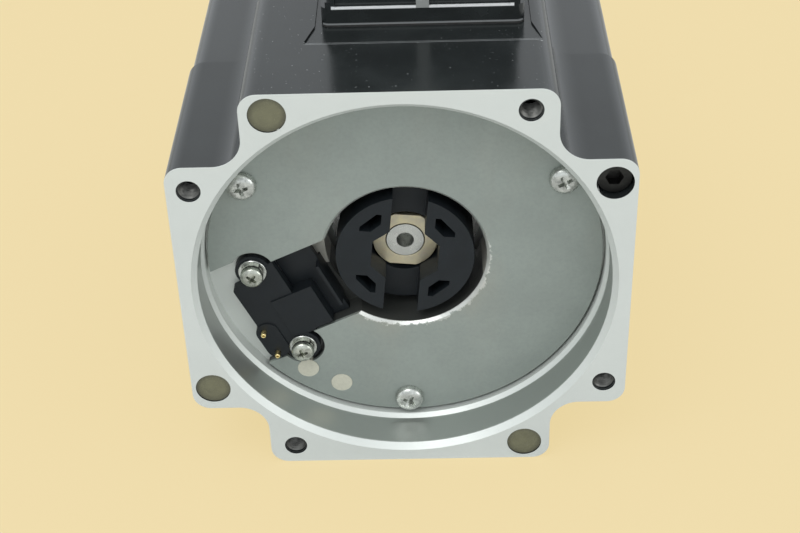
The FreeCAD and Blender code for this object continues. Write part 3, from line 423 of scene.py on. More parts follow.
def casting_finish():
    """Black paint outside, with two painted highlight lines across the top pad; a machined rear
    face, turned recess and bright shoulder.
    """
    finish = finish_settings()
    paint = tuple(finish.paint)
    metal = tuple(finish.aluminium)
    shader = Shader("casting_finish")
    x, y, z = shader.axes()
    radius = shader.radius()
    inside = radius < PLATE_RADIUS + RECESS_MARGIN
    face = y < REAR + FACE_SKIN
    machined = inside.most(face)
    dust = shader.ramp(shader.cloud(38, 6, 0.6), (0.42, 0), (0.78, 1))
    black = shader.blend(dust * 0.4, paint, shade(paint, 2.6))
    sizes = bpy.context.scene.servo_sizes
    across = (x - BOX_MIDDLE).size()
    front = REAR + sizes.pad_front
    # Painted highlights: two thin light lines at the top pad's stepped front edge, standing in for
    # its edges catching the light.
    pad_highlight_lines = shader.line(y, front, 0.28 * MM) + shader.line(y, front - sizes.pad_step, 0.32 * MM)
    pad_highlight_lines = pad_highlight_lines * (across < BOX_HALF + PAD_MARGIN) * (z > HALF - TOP_SKIN)
    grit = shader.ramp(shader.cloud(1100, 2, 0.5), (0.735, 0), (0.75, 1))
    grit = grit * (z > HALF - TOP_DUST_SKIN)
    # This lighter grey paints both the highlight lines and the grit on the top.
    black = shader.blend((pad_highlight_lines * 0.8).most(grit), black, (0.3, 0.31, 0.31))
    milling = shader.cloud(900, 3, 0.6, shader.stretched(0.08, 1.0, 1.0))
    rings = (radius * 9000 + shader.cloud(60, 2) * 6).sine()
    turned = (y * 11000 + shader.cloud(90, 2) * 5).sine()
    stains = shader.ramp(shader.cloud(24, 5, 0.65), (0.4, 0), (0.75, 1))
    specks = shader.ramp(shader.cloud(420, 4, 0.7), (0.66, 0), (0.76, 1))
    bright = shader.blend(stains * 0.35, metal, shade(metal, 0.84))
    bright = shader.blend(specks * 0.25, bright, shade(metal, 0.6))
    wall = shader.between(y, REAR + MOUTH[0], REAR + MOUTH[1]) * (y < LEDGE - LEDGE_MARGIN)
    shoulder = shader.between(y, REAR + SHOULDER[0], REAR + SHOULDER[1])
    bore = wall * (1 - shoulder)
    bright = shader.blend(bore * 0.55, bright, shade(metal, 0.55))
    shader.feed("Base Color", shader.blend(machined, black, bright))
    shader.feed("Metallic", machined * (0.45 + bore * 0.4))
    smooth_wall = 0.44 - bore * 0.14
    painted = 1 - machined
    shader.feed("Roughness",
                machined * (smooth_wall + stains * 0.08) + painted * (0.17 + dust * 0.12))
    marks = face * milling * 0.6 + (1 - face) * (turned * 0.25 + rings * 0.1)
    peel = shader.cloud(700, 2, 0.5)
    shader.bump(machined * marks + painted * peel * 0.7, 0.2, 0.1 * MM)
    return shader.material


def plate_finish():
    """Matt phosphated steel, mottled, with a bright rim rubbed bare round the centre hole, painted
    shade on the hole's wall and painted light on the wall's left and right.
    """
    colour = tuple(finish_settings().plate)
    shader = Shader("plate_finish")
    x, y, z = shader.axes()
    radius = shader.radius()
    mottle = shader.ramp(shader.cloud(55, 7, 0.62), (0.36, 0), (0.7, 1))
    fine = shader.ramp(shader.cloud(600, 4, 0.7), (0.4, 0), (0.66, 1))
    streaks = shader.cloud(26, 4, 0.6, shader.stretched(1.0, 1.0, 0.4))
    smears = shader.ramp(streaks, (0.5, 0), (0.8, 1))
    body = shader.blend(mottle * 0.5, shade(colour, 0.93), shade(colour, 1.12))
    body = shader.blend(fine * 0.2, body, shade(colour, 0.82))
    body = shader.blend(smears * 0.28, body, (0.36, 0.345, 0.29))
    ragged = shader.ramp(shader.cloud(230, 6, 0.75), (0.38, 0), (0.66, 1)) * 2.3 * MM
    hole = SLIDER_RADIUS + HOLE_ROOM
    low_side = shader.between(x * 0.55 - z, -4 * MM, 30 * MM)
    reach = radius - ragged * (0.15 + low_side)
    rim = 1 - shader.between(reach, hole + 0.15 * MM, hole + 0.55 * MM)
    inner = y > PLATE + HOLE_CHAMFER
    rim = rim * (1 - inner)
    smudge = (1 - shader.between(radius, hole, hole + 9 * MM)) * smears * low_side
    body = shader.blend(smudge * 0.5, body, (0.4, 0.37, 0.3))
    body = shader.blend(rim * (0.45 + mottle * 0.5), body, (0.78, 0.79, 0.75))
    # Painted light and shade on the hole's wall: dark painted shade, lighter on its left and right
    # above the bottom, where light falls.
    sides = shader.between(x.size(), hole * 0.86, hole * 0.97) * (z > -0.3 * hole)
    hole_wall_shade_and_light = shader.blend(sides, (0.035, 0.036, 0.034), (0.5, 0.49, 0.43))
    shader.feed("Base Color", shader.blend(inner * 0.92, body, hole_wall_shade_and_light))
    shader.feed("Metallic", 0.35 + rim * 0.5 - inner * 0.1)
    shader.feed("Roughness", 0.5 + fine * 0.1 - rim * 0.18 - inner * 0.2)
    shader.bump(fine * 0.5 + mottle * 0.3 + rim * shader.cloud(900, 4, 0.7), 0.25, 0.12 * MM)
    return shader.material


def plated_steel(name, colour, grime, roughness):
    """Plated screws and washers with dirt and small dents."""
    shader = Shader(name, Metallic=0.95)
    dirt = shader.ramp(shader.cloud(420, 5, 0.65), (0.42, 0), (0.72, 1))
    shader.feed("Base Color", shader.blend(dirt * grime, colour, shade(colour, 0.34)))
    shader.feed("Roughness", roughness + dirt * 0.25)
    shader.bump(shader.cloud(1500, 4, 0.6), 0.2, 0.08 * MM)
    return shader.material


def turned_steel(name, colour, roughness):
    """Ground or turned steel with fine rings about its axis."""
    shader = Shader(name, Metallic=0.92)
    y = shader.axes()[1]
    rings = (shader.radius() * 14000).sine() * 0.5 + (y * 14000).sine() * 0.5
    stain = shader.ramp(shader.cloud(160, 5, 0.6), (0.4, 0), (0.75, 1))
    shader.feed("Base Color", shader.blend(stain * 0.4, colour, shade(colour, 0.62)))
    shader.feed("Roughness", roughness + stain * 0.16 + rings * 0.03)
    shader.bump(rings, 0.12, 0.05 * MM)
    return shader.material


def hub_finish():
    """Yellow passivation: straw to grey with a faint rainbow."""
    colour = tuple(finish_settings().hub)
    shader = Shader("hub_finish", Metallic=0.75)
    drift = shader.ramp(shader.cloud(190, 4, 0.6), (0.35, 0), (0.7, 1))
    veins = shader.ramp(shader.cloud(520, 5, 0.7), (0.55, 0), (0.75, 1))
    straw = shader.blend(drift * 0.7, shade(colour, 1.12), (0.5, 0.47, 0.4))
    shader.feed("Base Color", shader.blend(veins * 0.35, straw, (0.6, 0.33, 0.22)))
    shader.feed("Roughness", 0.34 + drift * 0.14)
    shader.bump(shader.cloud(1300, 4, 0.6), 0.25, 0.06 * MM)
    return shader.material


def sealant_finish():
    """Glossy olive sealing compound with buried grain, thicker along its wall, where painted shade
    darkens it.
    """
    colour = tuple(finish_settings().sealant)
    shader = Shader("sealant_finish", Coat_Weight=0.35, Coat_Roughness=0.08)
    boxes = solids_of("sealant_plugs")
    outer = (boxes[0][1].x - boxes[0][0].x) / 2
    nearest = shader.radius(middle(boxes[0]).x, middle(boxes[0]).z)
    for box in boxes[1:]:
        nearest = nearest.least(shader.radius(middle(box).x, middle(box).z))
    wobble = shader.cloud(170, 3, 0.6) * 1.6 * MM
    # Painted shade: the compound darkens towards the hole's wall.
    wall = shader.between(nearest + wobble, outer * 0.78, outer * 1.1)
    depth = shader.ramp(shader.cloud(230, 4, 0.6), (0.35, 0), (0.7, 1))
    grain = shader.ramp(shader.cloud(1400, 3, 0.7), (0.62, 0), (0.72, 1))
    tone = shader.blend(depth * 0.5, colour, shade(colour, 0.62))
    tone = shader.blend(wall * 0.75, tone, shade(colour, 0.4))
    shader.feed("Base Color", shader.blend(grain * 0.3, tone, shade(colour, 2.2)))
    shader.feed("Roughness", 0.2 + depth * 0.16)
    shader.bump(shader.cloud(420, 3, 0.5), 0.15, 0.2 * MM)
    return shader.material


def potting_finish():
    """Grainy cream potting."""
    colour = tuple(finish_settings().potting)
    shader = Shader("potting_finish")
    grain = shader.ramp(shader.cloud(900, 5, 0.75), (0.38, 0), (0.68, 1))
    patch = shader.ramp(shader.cloud(260, 4, 0.6), (0.4, 0), (0.75, 1))
    tone = shader.blend(grain * 0.35, colour, shade(colour, 0.68))
    shader.feed("Base Color", shader.blend(patch * 0.3, tone, shade(colour, 1.2)))
    shader.feed("Roughness", 0.62 + grain * 0.2)
    shader.bump(grain, 0.4, 0.1 * MM)
    return shader.material


def moulded_plastic(name, tint, roughness):
    """Black moulded plastic, lightly dusted, with a fine spark-eroded grain."""
    colour = shade(finish_settings().plastic, tint)
    shader = Shader(name, Specular_IOR_Level=0.3)
    dust = shader.ramp(shader.cloud(110, 6, 0.65), (0.4, 0), (0.78, 1))
    flecks = shader.ramp(shader.cloud(1500, 2, 0.6), (0.7, 0), (0.76, 1))
    tone = shader.blend(dust * 0.45, colour, shade(colour, 1.9))
    shader.feed("Base Color", shader.blend(flecks * 0.25, tone, shade(colour, 5)))
    shader.feed("Roughness", roughness + dust * 0.14)
    shader.bump(shader.cloud(2200, 3, 0.6), 0.18, 0.05 * MM)
    return shader.material


def gold_finish():
    shader = Shader("gold_finish", Metallic=1.0)
    wear_and_highlight = shader.ramp(shader.cloud(900, 4, 0.6), (0.4, 0), (0.7, 1))
    shader.feed("Base Color", shader.blend(wear_and_highlight * 0.5, (0.95, 0.78, 0.36), (0.7, 0.55, 0.28)))
    shader.feed("Roughness", 0.2 + wear_and_highlight * 0.15)
    return shader.material


def copper_finish():
    """Varnished winding wire laid side by side."""
    shader = Shader("copper_finish", Metallic=0.6, Coat_Weight=0.4)
    strands = (shader.radius() * 7000).sine() * 0.5 + 0.5
    shader.feed("Base Color", shader.blend(strands, (0.25, 0.08, 0.03), (0.6, 0.26, 0.1)))
    shader.feed("Roughness", 0.3 + strands * 0.1)
    shader.bump(strands, 0.6, 0.3 * MM)
    return shader.material


def laminated_steel():
    """Stacked sheets seen edge on."""
    shader = Shader("laminated_steel", Metallic=0.7)
    sheets = (shader.axes()[1] * 12500).sine() * 0.5 + 0.5
    shader.feed("Base Color", shader.blend(sheets, (0.14, 0.14, 0.15), (0.34, 0.34, 0.35)))
    shader.feed("Roughness", 0.4 + sheets * 0.15)
    shader.bump(sheets, 0.5, 0.1 * MM)
    return shader.material


def rubber_finish():
    shader = Shader("rubber_finish")
    bloom = shader.ramp(shader.cloud(300, 5, 0.6), (0.4, 0), (0.8, 1))
    shader.feed("Base Color", shader.blend(bloom * 0.4, (0.02, 0.019, 0.018), (0.06, 0.058, 0.055)))
    shader.feed("Roughness", 0.55 + bloom * 0.2)
    shader.bump(shader.cloud(1200, 3, 0.6), 0.2, 0.08 * MM)
    return shader.material


def flange_finish():
    """Black paint with a machined mounting face and pilot."""
    finish = finish_settings()
    paint = tuple(finish.paint)
    metal = tuple(finish.aluminium)
    shader = Shader("flange_finish")
    y = shader.axes()[1]
    radius = shader.radius()
    machined = y > -0.12 * MM
    dust = shader.ramp(shader.cloud(38, 6, 0.6), (0.42, 0), (0.78, 1))
    rings = (radius * 7000 + shader.cloud(50, 2) * 4).sine() * 0.5 + 0.5
    stains = shader.ramp(shader.cloud(24, 5, 0.65), (0.4, 0), (0.75, 1))
    bright = shader.blend(stains * 0.3, metal, shade(metal, 0.82))
    black = shader.blend(dust * 0.4, paint, shade(paint, 2.6))
    shader.feed("Base Color", shader.blend(machined, black, bright))
    shader.feed("Metallic", machined * 0.6)
    shader.feed("Roughness", 0.32 + machined * 0.1 + dust * 0.1)
    shader.bump(machined * rings * 0.5 + (1 - machined) * shader.cloud(700, 2, 0.5), 0.2, 0.1 * MM)
    return shader.material


# ---------------------------------------------------------------- meshes

def new_piece(name, mesh, material, body, slot, *replaced, smooth=SMOOTH):
    """Put a mesh in the scene as a finished piece that moves with a body."""
    data = bpy.data.meshes.new(name)
    mesh.to_mesh(data)
    mesh.free()
    data.materials.append(material)
    data.polygons.foreach_set("use_smooth", [True] * len(data.polygons))
    data.set_sharp_from_angle(angle=math.radians(smooth))
    piece = bpy.data.objects.new(name, data)
    bpy.context.scene.collection.objects.link(piece)
    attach(piece, body)
    if replaced:
        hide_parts(*replaced)
    return piece


def apply_modifiers(piece):
    """Bake the piece's modifiers into its mesh."""
    graph = bpy.context.evaluated_depsgraph_get()
    baked = bpy.data.meshes.new_from_object(piece.evaluated_get(graph))
    piece.modifiers.clear()
    old = piece.data
    piece.data = baked
    bpy.data.meshes.remove(old)


def machined_copy(node, material, body, slot, width, segments=2):
    """A CAD node with its edges broken and its flats cleaned up."""
    mesh = bmesh.new()
    mesh.from_mesh(frame["nodes"][node].data)
    bmesh.ops.remove_doubles(mesh, verts=mesh.verts, dist=2e-6)
    bmesh.ops.dissolve_limit(mesh, angle_limit=math.radians(FLAT), verts=mesh.verts,
                             edges=mesh.edges, delimit=set())
    piece = new_piece(node + "_finished", mesh, material, body, slot, node)
    bevel = piece.modifiers.new("broken edges", "BEVEL")
    bevel.width = width
    bevel.segments = segments
    bevel.limit_method = "ANGLE"
    bevel.angle_limit = math.radians(EDGE)
    bevel.use_clamp_overlap = True
    bevel.miter_outer = "MITER_ARC"
    weigh = piece.modifiers.new("flat flats", "WEIGHTED_NORMAL")
    weigh.mode = "FACE_AREA"
    weigh.keep_sharp = True
    apply_modifiers(piece)


def turn_profile(mesh, profile, across, up, segments):
    """Turn corners (radius, station) about an axis along Y through (across, up)."""
    rings = []
    for radius, station in profile:
        if radius < 1e-7:
            rings.append([mesh.verts.new((across, station, up))])
            continue
        ring = []
        for step in range(segments):
            angle = FULL_TURN * step / segments
            place = (across + radius * math.cos(angle), station, up + radius * math.sin(angle))
            ring.append(mesh.verts.new(place))
        rings.append(ring)
    pairs = list(zip(rings, rings[1:]))
    if len(rings[0]) > 1 and len(rings[-1]) > 1:
        pairs.append((rings[-1], rings[0]))
    for first, second in pairs:
        for step in range(segments):
            ahead = (step + 1) % segments
            corners = [first[step % len(first)], first[ahead % len(first)],
                       second[ahead % len(second)], second[step % len(second)]]
            unique = list(dict.fromkeys(corners))
            if len(unique) > 2:
                mesh.faces.new(unique)


def tidy_normals(mesh):
    bmesh.ops.recalc_face_normals(mesh, faces=mesh.faces)
    return mesh


def cut_with(piece, tool_mesh):
    """Cut a closed mesh out of a piece."""
    data = bpy.data.meshes.new("tool")
    tidy_normals(tool_mesh).to_mesh(data)
    tool_mesh.free()
    tool = bpy.data.objects.new("tool", data)
    bpy.context.scene.collection.objects.link(tool)
    cut = piece.modifiers.new("cut", "BOOLEAN")
    cut.operation = "DIFFERENCE"
    cut.solver = "EXACT"
    cut.object = tool
    apply_modifiers(piece)
    bpy.data.objects.remove(tool)
    bpy.data.meshes.remove(data)
    piece.data.set_sharp_from_angle(angle=math.radians(SMOOTH))


def add_prism(mesh, outline, top, bottom, taper, centre):
    """A closed prism along Y between two stations, its far end scaled about the centre."""
    near = [mesh.verts.new((x, top, z)) for x, z in outline]
    far = [mesh.verts.new((centre[0] + (x - centre[0]) * taper, bottom,
                           centre[1] + (z - centre[1]) * taper)) for x, z in outline]
    mesh.faces.new(near)
    mesh.faces.new(list(reversed(far)))
    count = len(outline)
    for step in range(count):
        ahead = (step + 1) % count
        mesh.faces.new((near[ahead], near[step], far[step], far[ahead]))


def cross_recess(centre, top, arm, half, turn):
    """The tapered cross of a Phillips recess."""
    mesh = bmesh.new()
    across, up = centre
    notch = half * RECESS_NOTCH
    corners = [(arm, -half), (arm, half), (notch, notch), (half, arm), (-half, arm),
               (-notch, notch), (-arm, half), (-arm, -half), (-notch, -notch), (-half, -arm),
               (half, -arm), (notch, -notch)]
    cosine, sine = math.cos(turn), math.sin(turn)
    outline = [(across + x * cosine - z * sine, up + x * sine + z * cosine) for x, z in corners]
    add_prism(mesh, outline, top - RECESS_START, top + RECESS_DEPTH, RECESS_TAPER, centre)
    return mesh


# ---------------------------------------------------------------- the pieces

def pan_heads(node, label, seat, turns, material):
    """Pan-head screws with a domed top, a Phillips recess and a shank."""
    segments = bpy.context.scene.servo_sizes.segments
    for index, (box, turn) in enumerate(zip(solids_of(node), turns)):
        centre = middle(box)
        top = box[0].y
        height = seat - top
        head_radius = (box[1].x - box[0].x) / 2
        mesh = bmesh.new()
        profile = [(0, top + DOME_SINK)]
        for step in range(1, DOME_STEPS):
            angle = step / DOME_STEPS * math.pi / 2
            profile.append((head_radius * DOME_WIDTH * math.sin(angle) ** DOME_POWER,
                            top + DOME_SINK + height * DOME_HEIGHT * (1 - math.cos(angle))))
        shank = head_radius * SHANK
        profile += [(head_radius, top + height * HEAD_RIM), (head_radius, seat - HEAD_FOOT[0]),
                    (head_radius - HEAD_FOOT[1], seat), (shank, seat), (shank, box[1].y),
                    (0, box[1].y)]
        turn_profile(mesh, profile, centre.x, centre.z, segments)
        piece = new_piece("%s_%d" % (label, index), tidy_normals(mesh), material, "stator",
                          "screw_steel", *([node] if index == 0 else []))
        cut_with(piece, cross_recess((centre.x, centre.z), top, head_radius * RECESS_ARM,
                                     head_radius * RECESS_HALF, turn))


class SERVO_OT_castings(bpy.types.Operator):
    """Finish the three castings, the plate and the connector base"""
    bl_idname = "servo.castings"
    bl_label = "Castings"

    def execute(self, context):
        edge = context.scene.servo_sizes.edge
        paint = black_paint()
        machined_copy("rear_casting", casting_finish(), "stator", "casting_paint", edge)
        machined_copy("stator_housing", paint, "stator", "housing_paint", edge * 2.6, segments=3)
        machined_copy("front_flange", flange_finish(), "stator", "flange_paint", edge)
        machined_copy("brake_magnet_body", plate_finish(), "stator", "brake_steel", edge * 0.5)
        machined_copy("connector_box", box_finish(), "stator", "casting_paint", edge)
        return {"FINISHED"}


class SERVO_OT_screws(bpy.types.Operator):
    """Make the plate screws, ear screws and their washers"""
    bl_idname = "servo.screws"
    bl_label = "Screws"

    def execute(self, context):
        steel = plated_steel("plated_screws", (0.66, 0.68, 0.64), 0.85, 0.22)
        dull = plated_steel("plated_ear_screws", (0.56, 0.58, 0.51), 1.0, 0.2)
        pan_heads("plate_screws", "plate_screw", PLATE, (0.2, 1.1, 0.5), steel)
        pan_heads("ear_screws", "ear_screw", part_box("ear_spring_washers")[0].y, (0.9, 0.35), dull)
        self.spring_washers(dull)
        self.flat_washers(steel)
        return {"FINISHED"}

    def spring_washers(self, material):
        """Split rings that rise by part of their thickness over one turn."""
        mesh = bmesh.new()
        for box in solids_of("ear_spring_washers"):
            centre = middle(box)
            outer = (box[1].x - box[0].x) / 2
            inner = outer - SPLIT_WIDTH
            rise = box[1].y - box[0].y
            thick = rise * SPLIT_THICK
            start = SPLIT_START + SPLIT_GAP / 2
            rings = []
            for step in range(SPLIT_STEPS + 1):
                angle = start + (FULL_TURN - SPLIT_GAP) * step / SPLIT_STEPS
                base = box[1].y - (rise - thick) * step / SPLIT_STEPS
                corners = []
                for radius, station in ((inner, base), (outer, base), (outer, base - thick),
                                        (inner, base - thick)):
                    corners.append(mesh.verts.new((centre.x + radius * math.cos(angle), station,
                                                   centre.z + radius * math.sin(angle))))
                rings.append(corners)
            for first, second in zip(rings, rings[1:]):
                for side in range(4):
                    ahead = (side + 1) % 4
                    mesh.faces.new((first[side], first[ahead], second[ahead], second[side]))
            mesh.faces.new(rings[0])
            mesh.faces.new(list(reversed(rings[-1])))
        new_piece("spring_washers_split", tidy_normals(mesh), material, "stator", "screw_steel",
                  "ear_spring_washers")

    def flat_washers(self, material):
        """Turned rings with soft outer edges."""
        segments = bpy.context.scene.servo_sizes.segments
        mesh = bmesh.new()
        for box in solids_of("ear_flat_washers"):
            centre = middle(box)
            outer = (box[1].x - box[0].x) / 2
            low, high = box[0].y, box[1].y
            soft = FLAT_WASHER_EDGE
            profile = [(FLAT_WASHER_BORE, low), (outer - soft, low), (outer, low + soft),
                       (outer, high - soft), (outer - soft, high), (FLAT_WASHER_BORE, high)]
            turn_profile(mesh, profile, centre.x, centre.z, segments)
        new_piece("flat_washers_turned", tidy_normals(mesh), material, "stator", "screw_steel",
                  "ear_flat_washers")


class SERVO_OT_sealant(bpy.types.Operator):
    """Pour the sealing compound and the cream potting"""
    bl_idname = "servo.sealant"
    bl_label = "Sealant and potting"

    def execute(self, context):
        self.pour("sealant_plugs", "sealant_poured", sealant_finish(), "sealant",
                  sink=0, sag=0.45 * MM, stride=3.1)
        self.pour("plate_plugs", "potting_poured", potting_finish(), "plug",
                  sink=0.03 * MM, sag=-0.06 * MM, stride=2.3)
        return {"FINISHED"}

    def pour(self, node, label, material, slot, sink, sag, stride):
        """Fill every hole of a node; stride keeps the ripples of two fillings apart."""
        mesh = bmesh.new()
        for index, box in enumerate(solids_of(node)):
            outer = (box[1].x - box[0].x) / 2
            self.blob(mesh, middle(box), outer, box[0].y + sink, box[1].y, sag, index * stride)
        new_piece(label, tidy_normals(mesh), material, "stator", slot, node, smooth=SMOOTH_POURED)

    def blob(self, mesh, centre, outer, top, bottom, sag, seed):
        """A filled hole whose surface creeps up its wall by a meniscus."""
        segments, bands = 72, 12
        rows = []
        for band in range(1, bands + 1):
            share = band / bands
            row = []
            for step in range(segments):
                angle = FULL_TURN * step / segments
                radius = outer * share
                ripple = noise.noise(Vector((seed + 2 * share * math.cos(angle),
                                             2 * share * math.sin(angle), seed)))
                dip = sag * (1 - share ** 5) + abs(sag) * 0.35 * ripple * (1 - share ** 4)
                row.append(mesh.verts.new((centre.x + radius * math.cos(angle), top + dip,
                                           centre.z + radius * math.sin(angle))))
            rows.append(row)
        rows.append([mesh.verts.new((vertex.co.x, bottom, vertex.co.z)) for vertex in rows[-1]])
        peak = mesh.verts.new((centre.x, top + sag, centre.z))
        foot = mesh.verts.new((centre.x, bottom, centre.z))
        for step in range(segments):
            ahead = (step + 1) % segments
            mesh.faces.new((peak, rows[0][step], rows[0][ahead]))
            mesh.faces.new((foot, rows[-1][ahead], rows[-1][step]))
            for first, second in zip(rows, rows[1:]):
                mesh.faces.new((first[step], second[step], second[ahead], first[ahead]))


class SERVO_OT_threads(bpy.types.Operator):
    """Cut the thread ridges that show in the four tapped holes"""
    bl_idname = "servo.threads"
    bl_label = "Threads"

    def execute(self, context):
        sizes = context.scene.servo_sizes
        mesh = bmesh.new()
        record = {mount["name"]: mount for mount in frame["record"]["mounts"]}
        holes = record["rear_tapped_holes"]["dims"]
        wall = holes["hole_r_mm"] * MM
        circle = holes["pcd_mm"] / 2 * MM
        bolt = middle(solids_of("tie_bolts")[0])
        start = math.atan2(bolt.z, bolt.x)
        offset = 2 * (math.pi / 4 - (abs(math.atan2(abs(bolt.z), abs(bolt.x)))))
        for quarter in range(4):
            angle = start + offset + quarter * math.pi / 2
            self.ridge(mesh, circle * math.cos(angle), circle * math.sin(angle), wall,
                       sizes.thread_pitch)
        metal = plated_steel("thread_metal", (0.15, 0.15, 0.14), 0.7, 0.34)
        new_piece("thread_ridges", tidy_normals(mesh), metal, "stator", "casting_paint")
        return {"FINISHED"}

    def ridge(self, mesh, across, up, wall, pitch):
        """A triangular ridge wound inside one hole."""
        foot, crest = wall + THREAD_BURY, wall - pitch * THREAD_DEPTH
        flank = THREAD_FLANK * pitch
        rows = []
        for step in range(THREAD_TURNS * THREAD_STEPS + 1):
            angle = FULL_TURN * step / THREAD_STEPS
            station = REAR + TAPPED_MOUTH + pitch * step / THREAD_STEPS
            row = []
            for radius, shift in ((foot, -flank), (crest, 0.0), (foot, flank)):
                row.append(mesh.verts.new((across + radius * math.cos(angle), station + shift,
                                           up + radius * math.sin(angle))))
            rows.append(row)
        for first, second in zip(rows, rows[1:]):
            for side in range(3):
                ahead = (side + 1) % 3
                mesh.faces.new((first[side], first[ahead], second[ahead], second[side]))
        mesh.faces.new(rows[0])
        mesh.faces.new(list(reversed(rows[-1])))


class SERVO_OT_coupling(bpy.types.Operator):
    """Finish the coupling hub, its slider and the shaft"""
    bl_idname = "servo.coupling"
    bl_label = "Coupling"

    def execute(self, context):
        fine = context.scene.servo_sizes.fine_edge
        machined_copy("coupling_hub", hub_finish(), "rotor", "hub_zinc", fine * 1.6)
        machined_copy("coupling_slider", moulded_plastic("slider_plastic", 1.15, 0.4),
                      "coupling_slider", "slider_plastic", fine * 1.6)
        machined_copy("shaft", turned_steel("shaft_steel", (0.6, 0.61, 0.58), 0.26), "rotor",
                      "steel", fine)
        return {"FINISHED"}


class SERVO_OT_brake_connector(bpy.types.Operator):
    """Finish the brake's two-pin connector"""
    bl_idname = "servo.brake_connector"
    bl_label = "Brake connector"

    def execute(self, context):
        fine = context.scene.servo_sizes.fine_edge
        machined_copy("connector_housing", moulded_plastic("connector_plastic", 1.0, 0.4), "stator",
                      "connector_plastic", fine * 1.5)
        self.pins()
        return {"FINISHED"}

    def pins(self):
        """Round contacts with a rolled tip and a dimple."""
        mesh = bmesh.new()
        for box in solids_of("connector_pins"):
            centre = middle(box)
            radius = (box[1].x - box[0].x) / 2
            top, foot = box[0].y, box[1].y
            profile = [(0, top + 2.2 * radius), (0.4 * radius, top + 2.0 * radius),
                       (0.42 * radius, top + 0.12 * radius), (0.6 * radius, top),
                       (0.84 * radius, top + 0.1 * radius), (radius, top + 0.45 * radius),
                       (radius, foot), (0, foot)]
            turn_profile(mesh, profile, centre.x, centre.z, 40)
        new_piece("contact_pins", tidy_normals(mesh), gold_finish(), "stator", "gold",
                  "connector_pins", smooth=SMOOTH_PIN)


class SERVO_OT_power_connector(bpy.types.Operator):
    """Finish the power receptacle on top"""
    bl_idname = "servo.power_connector"
    bl_label = "Power connector"

    def execute(self, context):
        fine = context.scene.servo_sizes.fine_edge
        nickel = plated_steel("nickel_shell", (0.66, 0.65, 0.6), 0.25, 0.22)
        machined_copy("power_receptacle", nickel, "stator", "shell_nickel", fine * 2)
        machined_copy("receptacle_insert", moulded_plastic("insert_plastic", 1.0, 0.5), "stator",
                      "connector_plastic", fine)
        socket = plated_steel("socket_screws", (0.2, 0.2, 0.2), 0.3, 0.35)
        machined_copy("receptacle_screws", socket, "stator", "screw_steel", fine)
        return {"FINISHED"}


class SERVO_OT_inner_pieces(bpy.types.Operator):
    """Give every CAD piece that stays as it is its own finish"""
    bl_idname = "servo.inner_pieces"
    bl_label = "Inner pieces"

    def execute(self, context):
        ground = turned_steel("ground_steel", (0.58, 0.58, 0.57), 0.2)
        brass = turned_steel("cage_brass", (0.72, 0.52, 0.26), 0.3)
        copper = copper_finish()
        sheets = laminated_steel()
        rubber = rubber_finish()
        band = moulded_plastic("glass_band", 6.0, 0.5)
        oxide = plated_steel("black_oxide", (0.045, 0.045, 0.042), 0.4, 0.36)
        finishes = {
            "tie_bolts": oxide, "brake_coil": copper, "stator_coils": copper,
            "rotor_core": sheets, "stator_core": sheets, "rotor_magnets": oxide,
            "brake_ring_magnet": oxide, "magnet_sleeve": band, "oil_seal": rubber,
            "connector_gasket": rubber, "rear_balance_ring": brass, "front_balance_ring": brass,
            "rear_cage": brass, "front_cage": brass, "receptacle_contacts": gold_finish(),
        }
        for name, node in frame["nodes"].items():
            node.data.materials.clear()
            node.data.materials.append(finishes.get(name, ground))
        return {"FINISHED"}


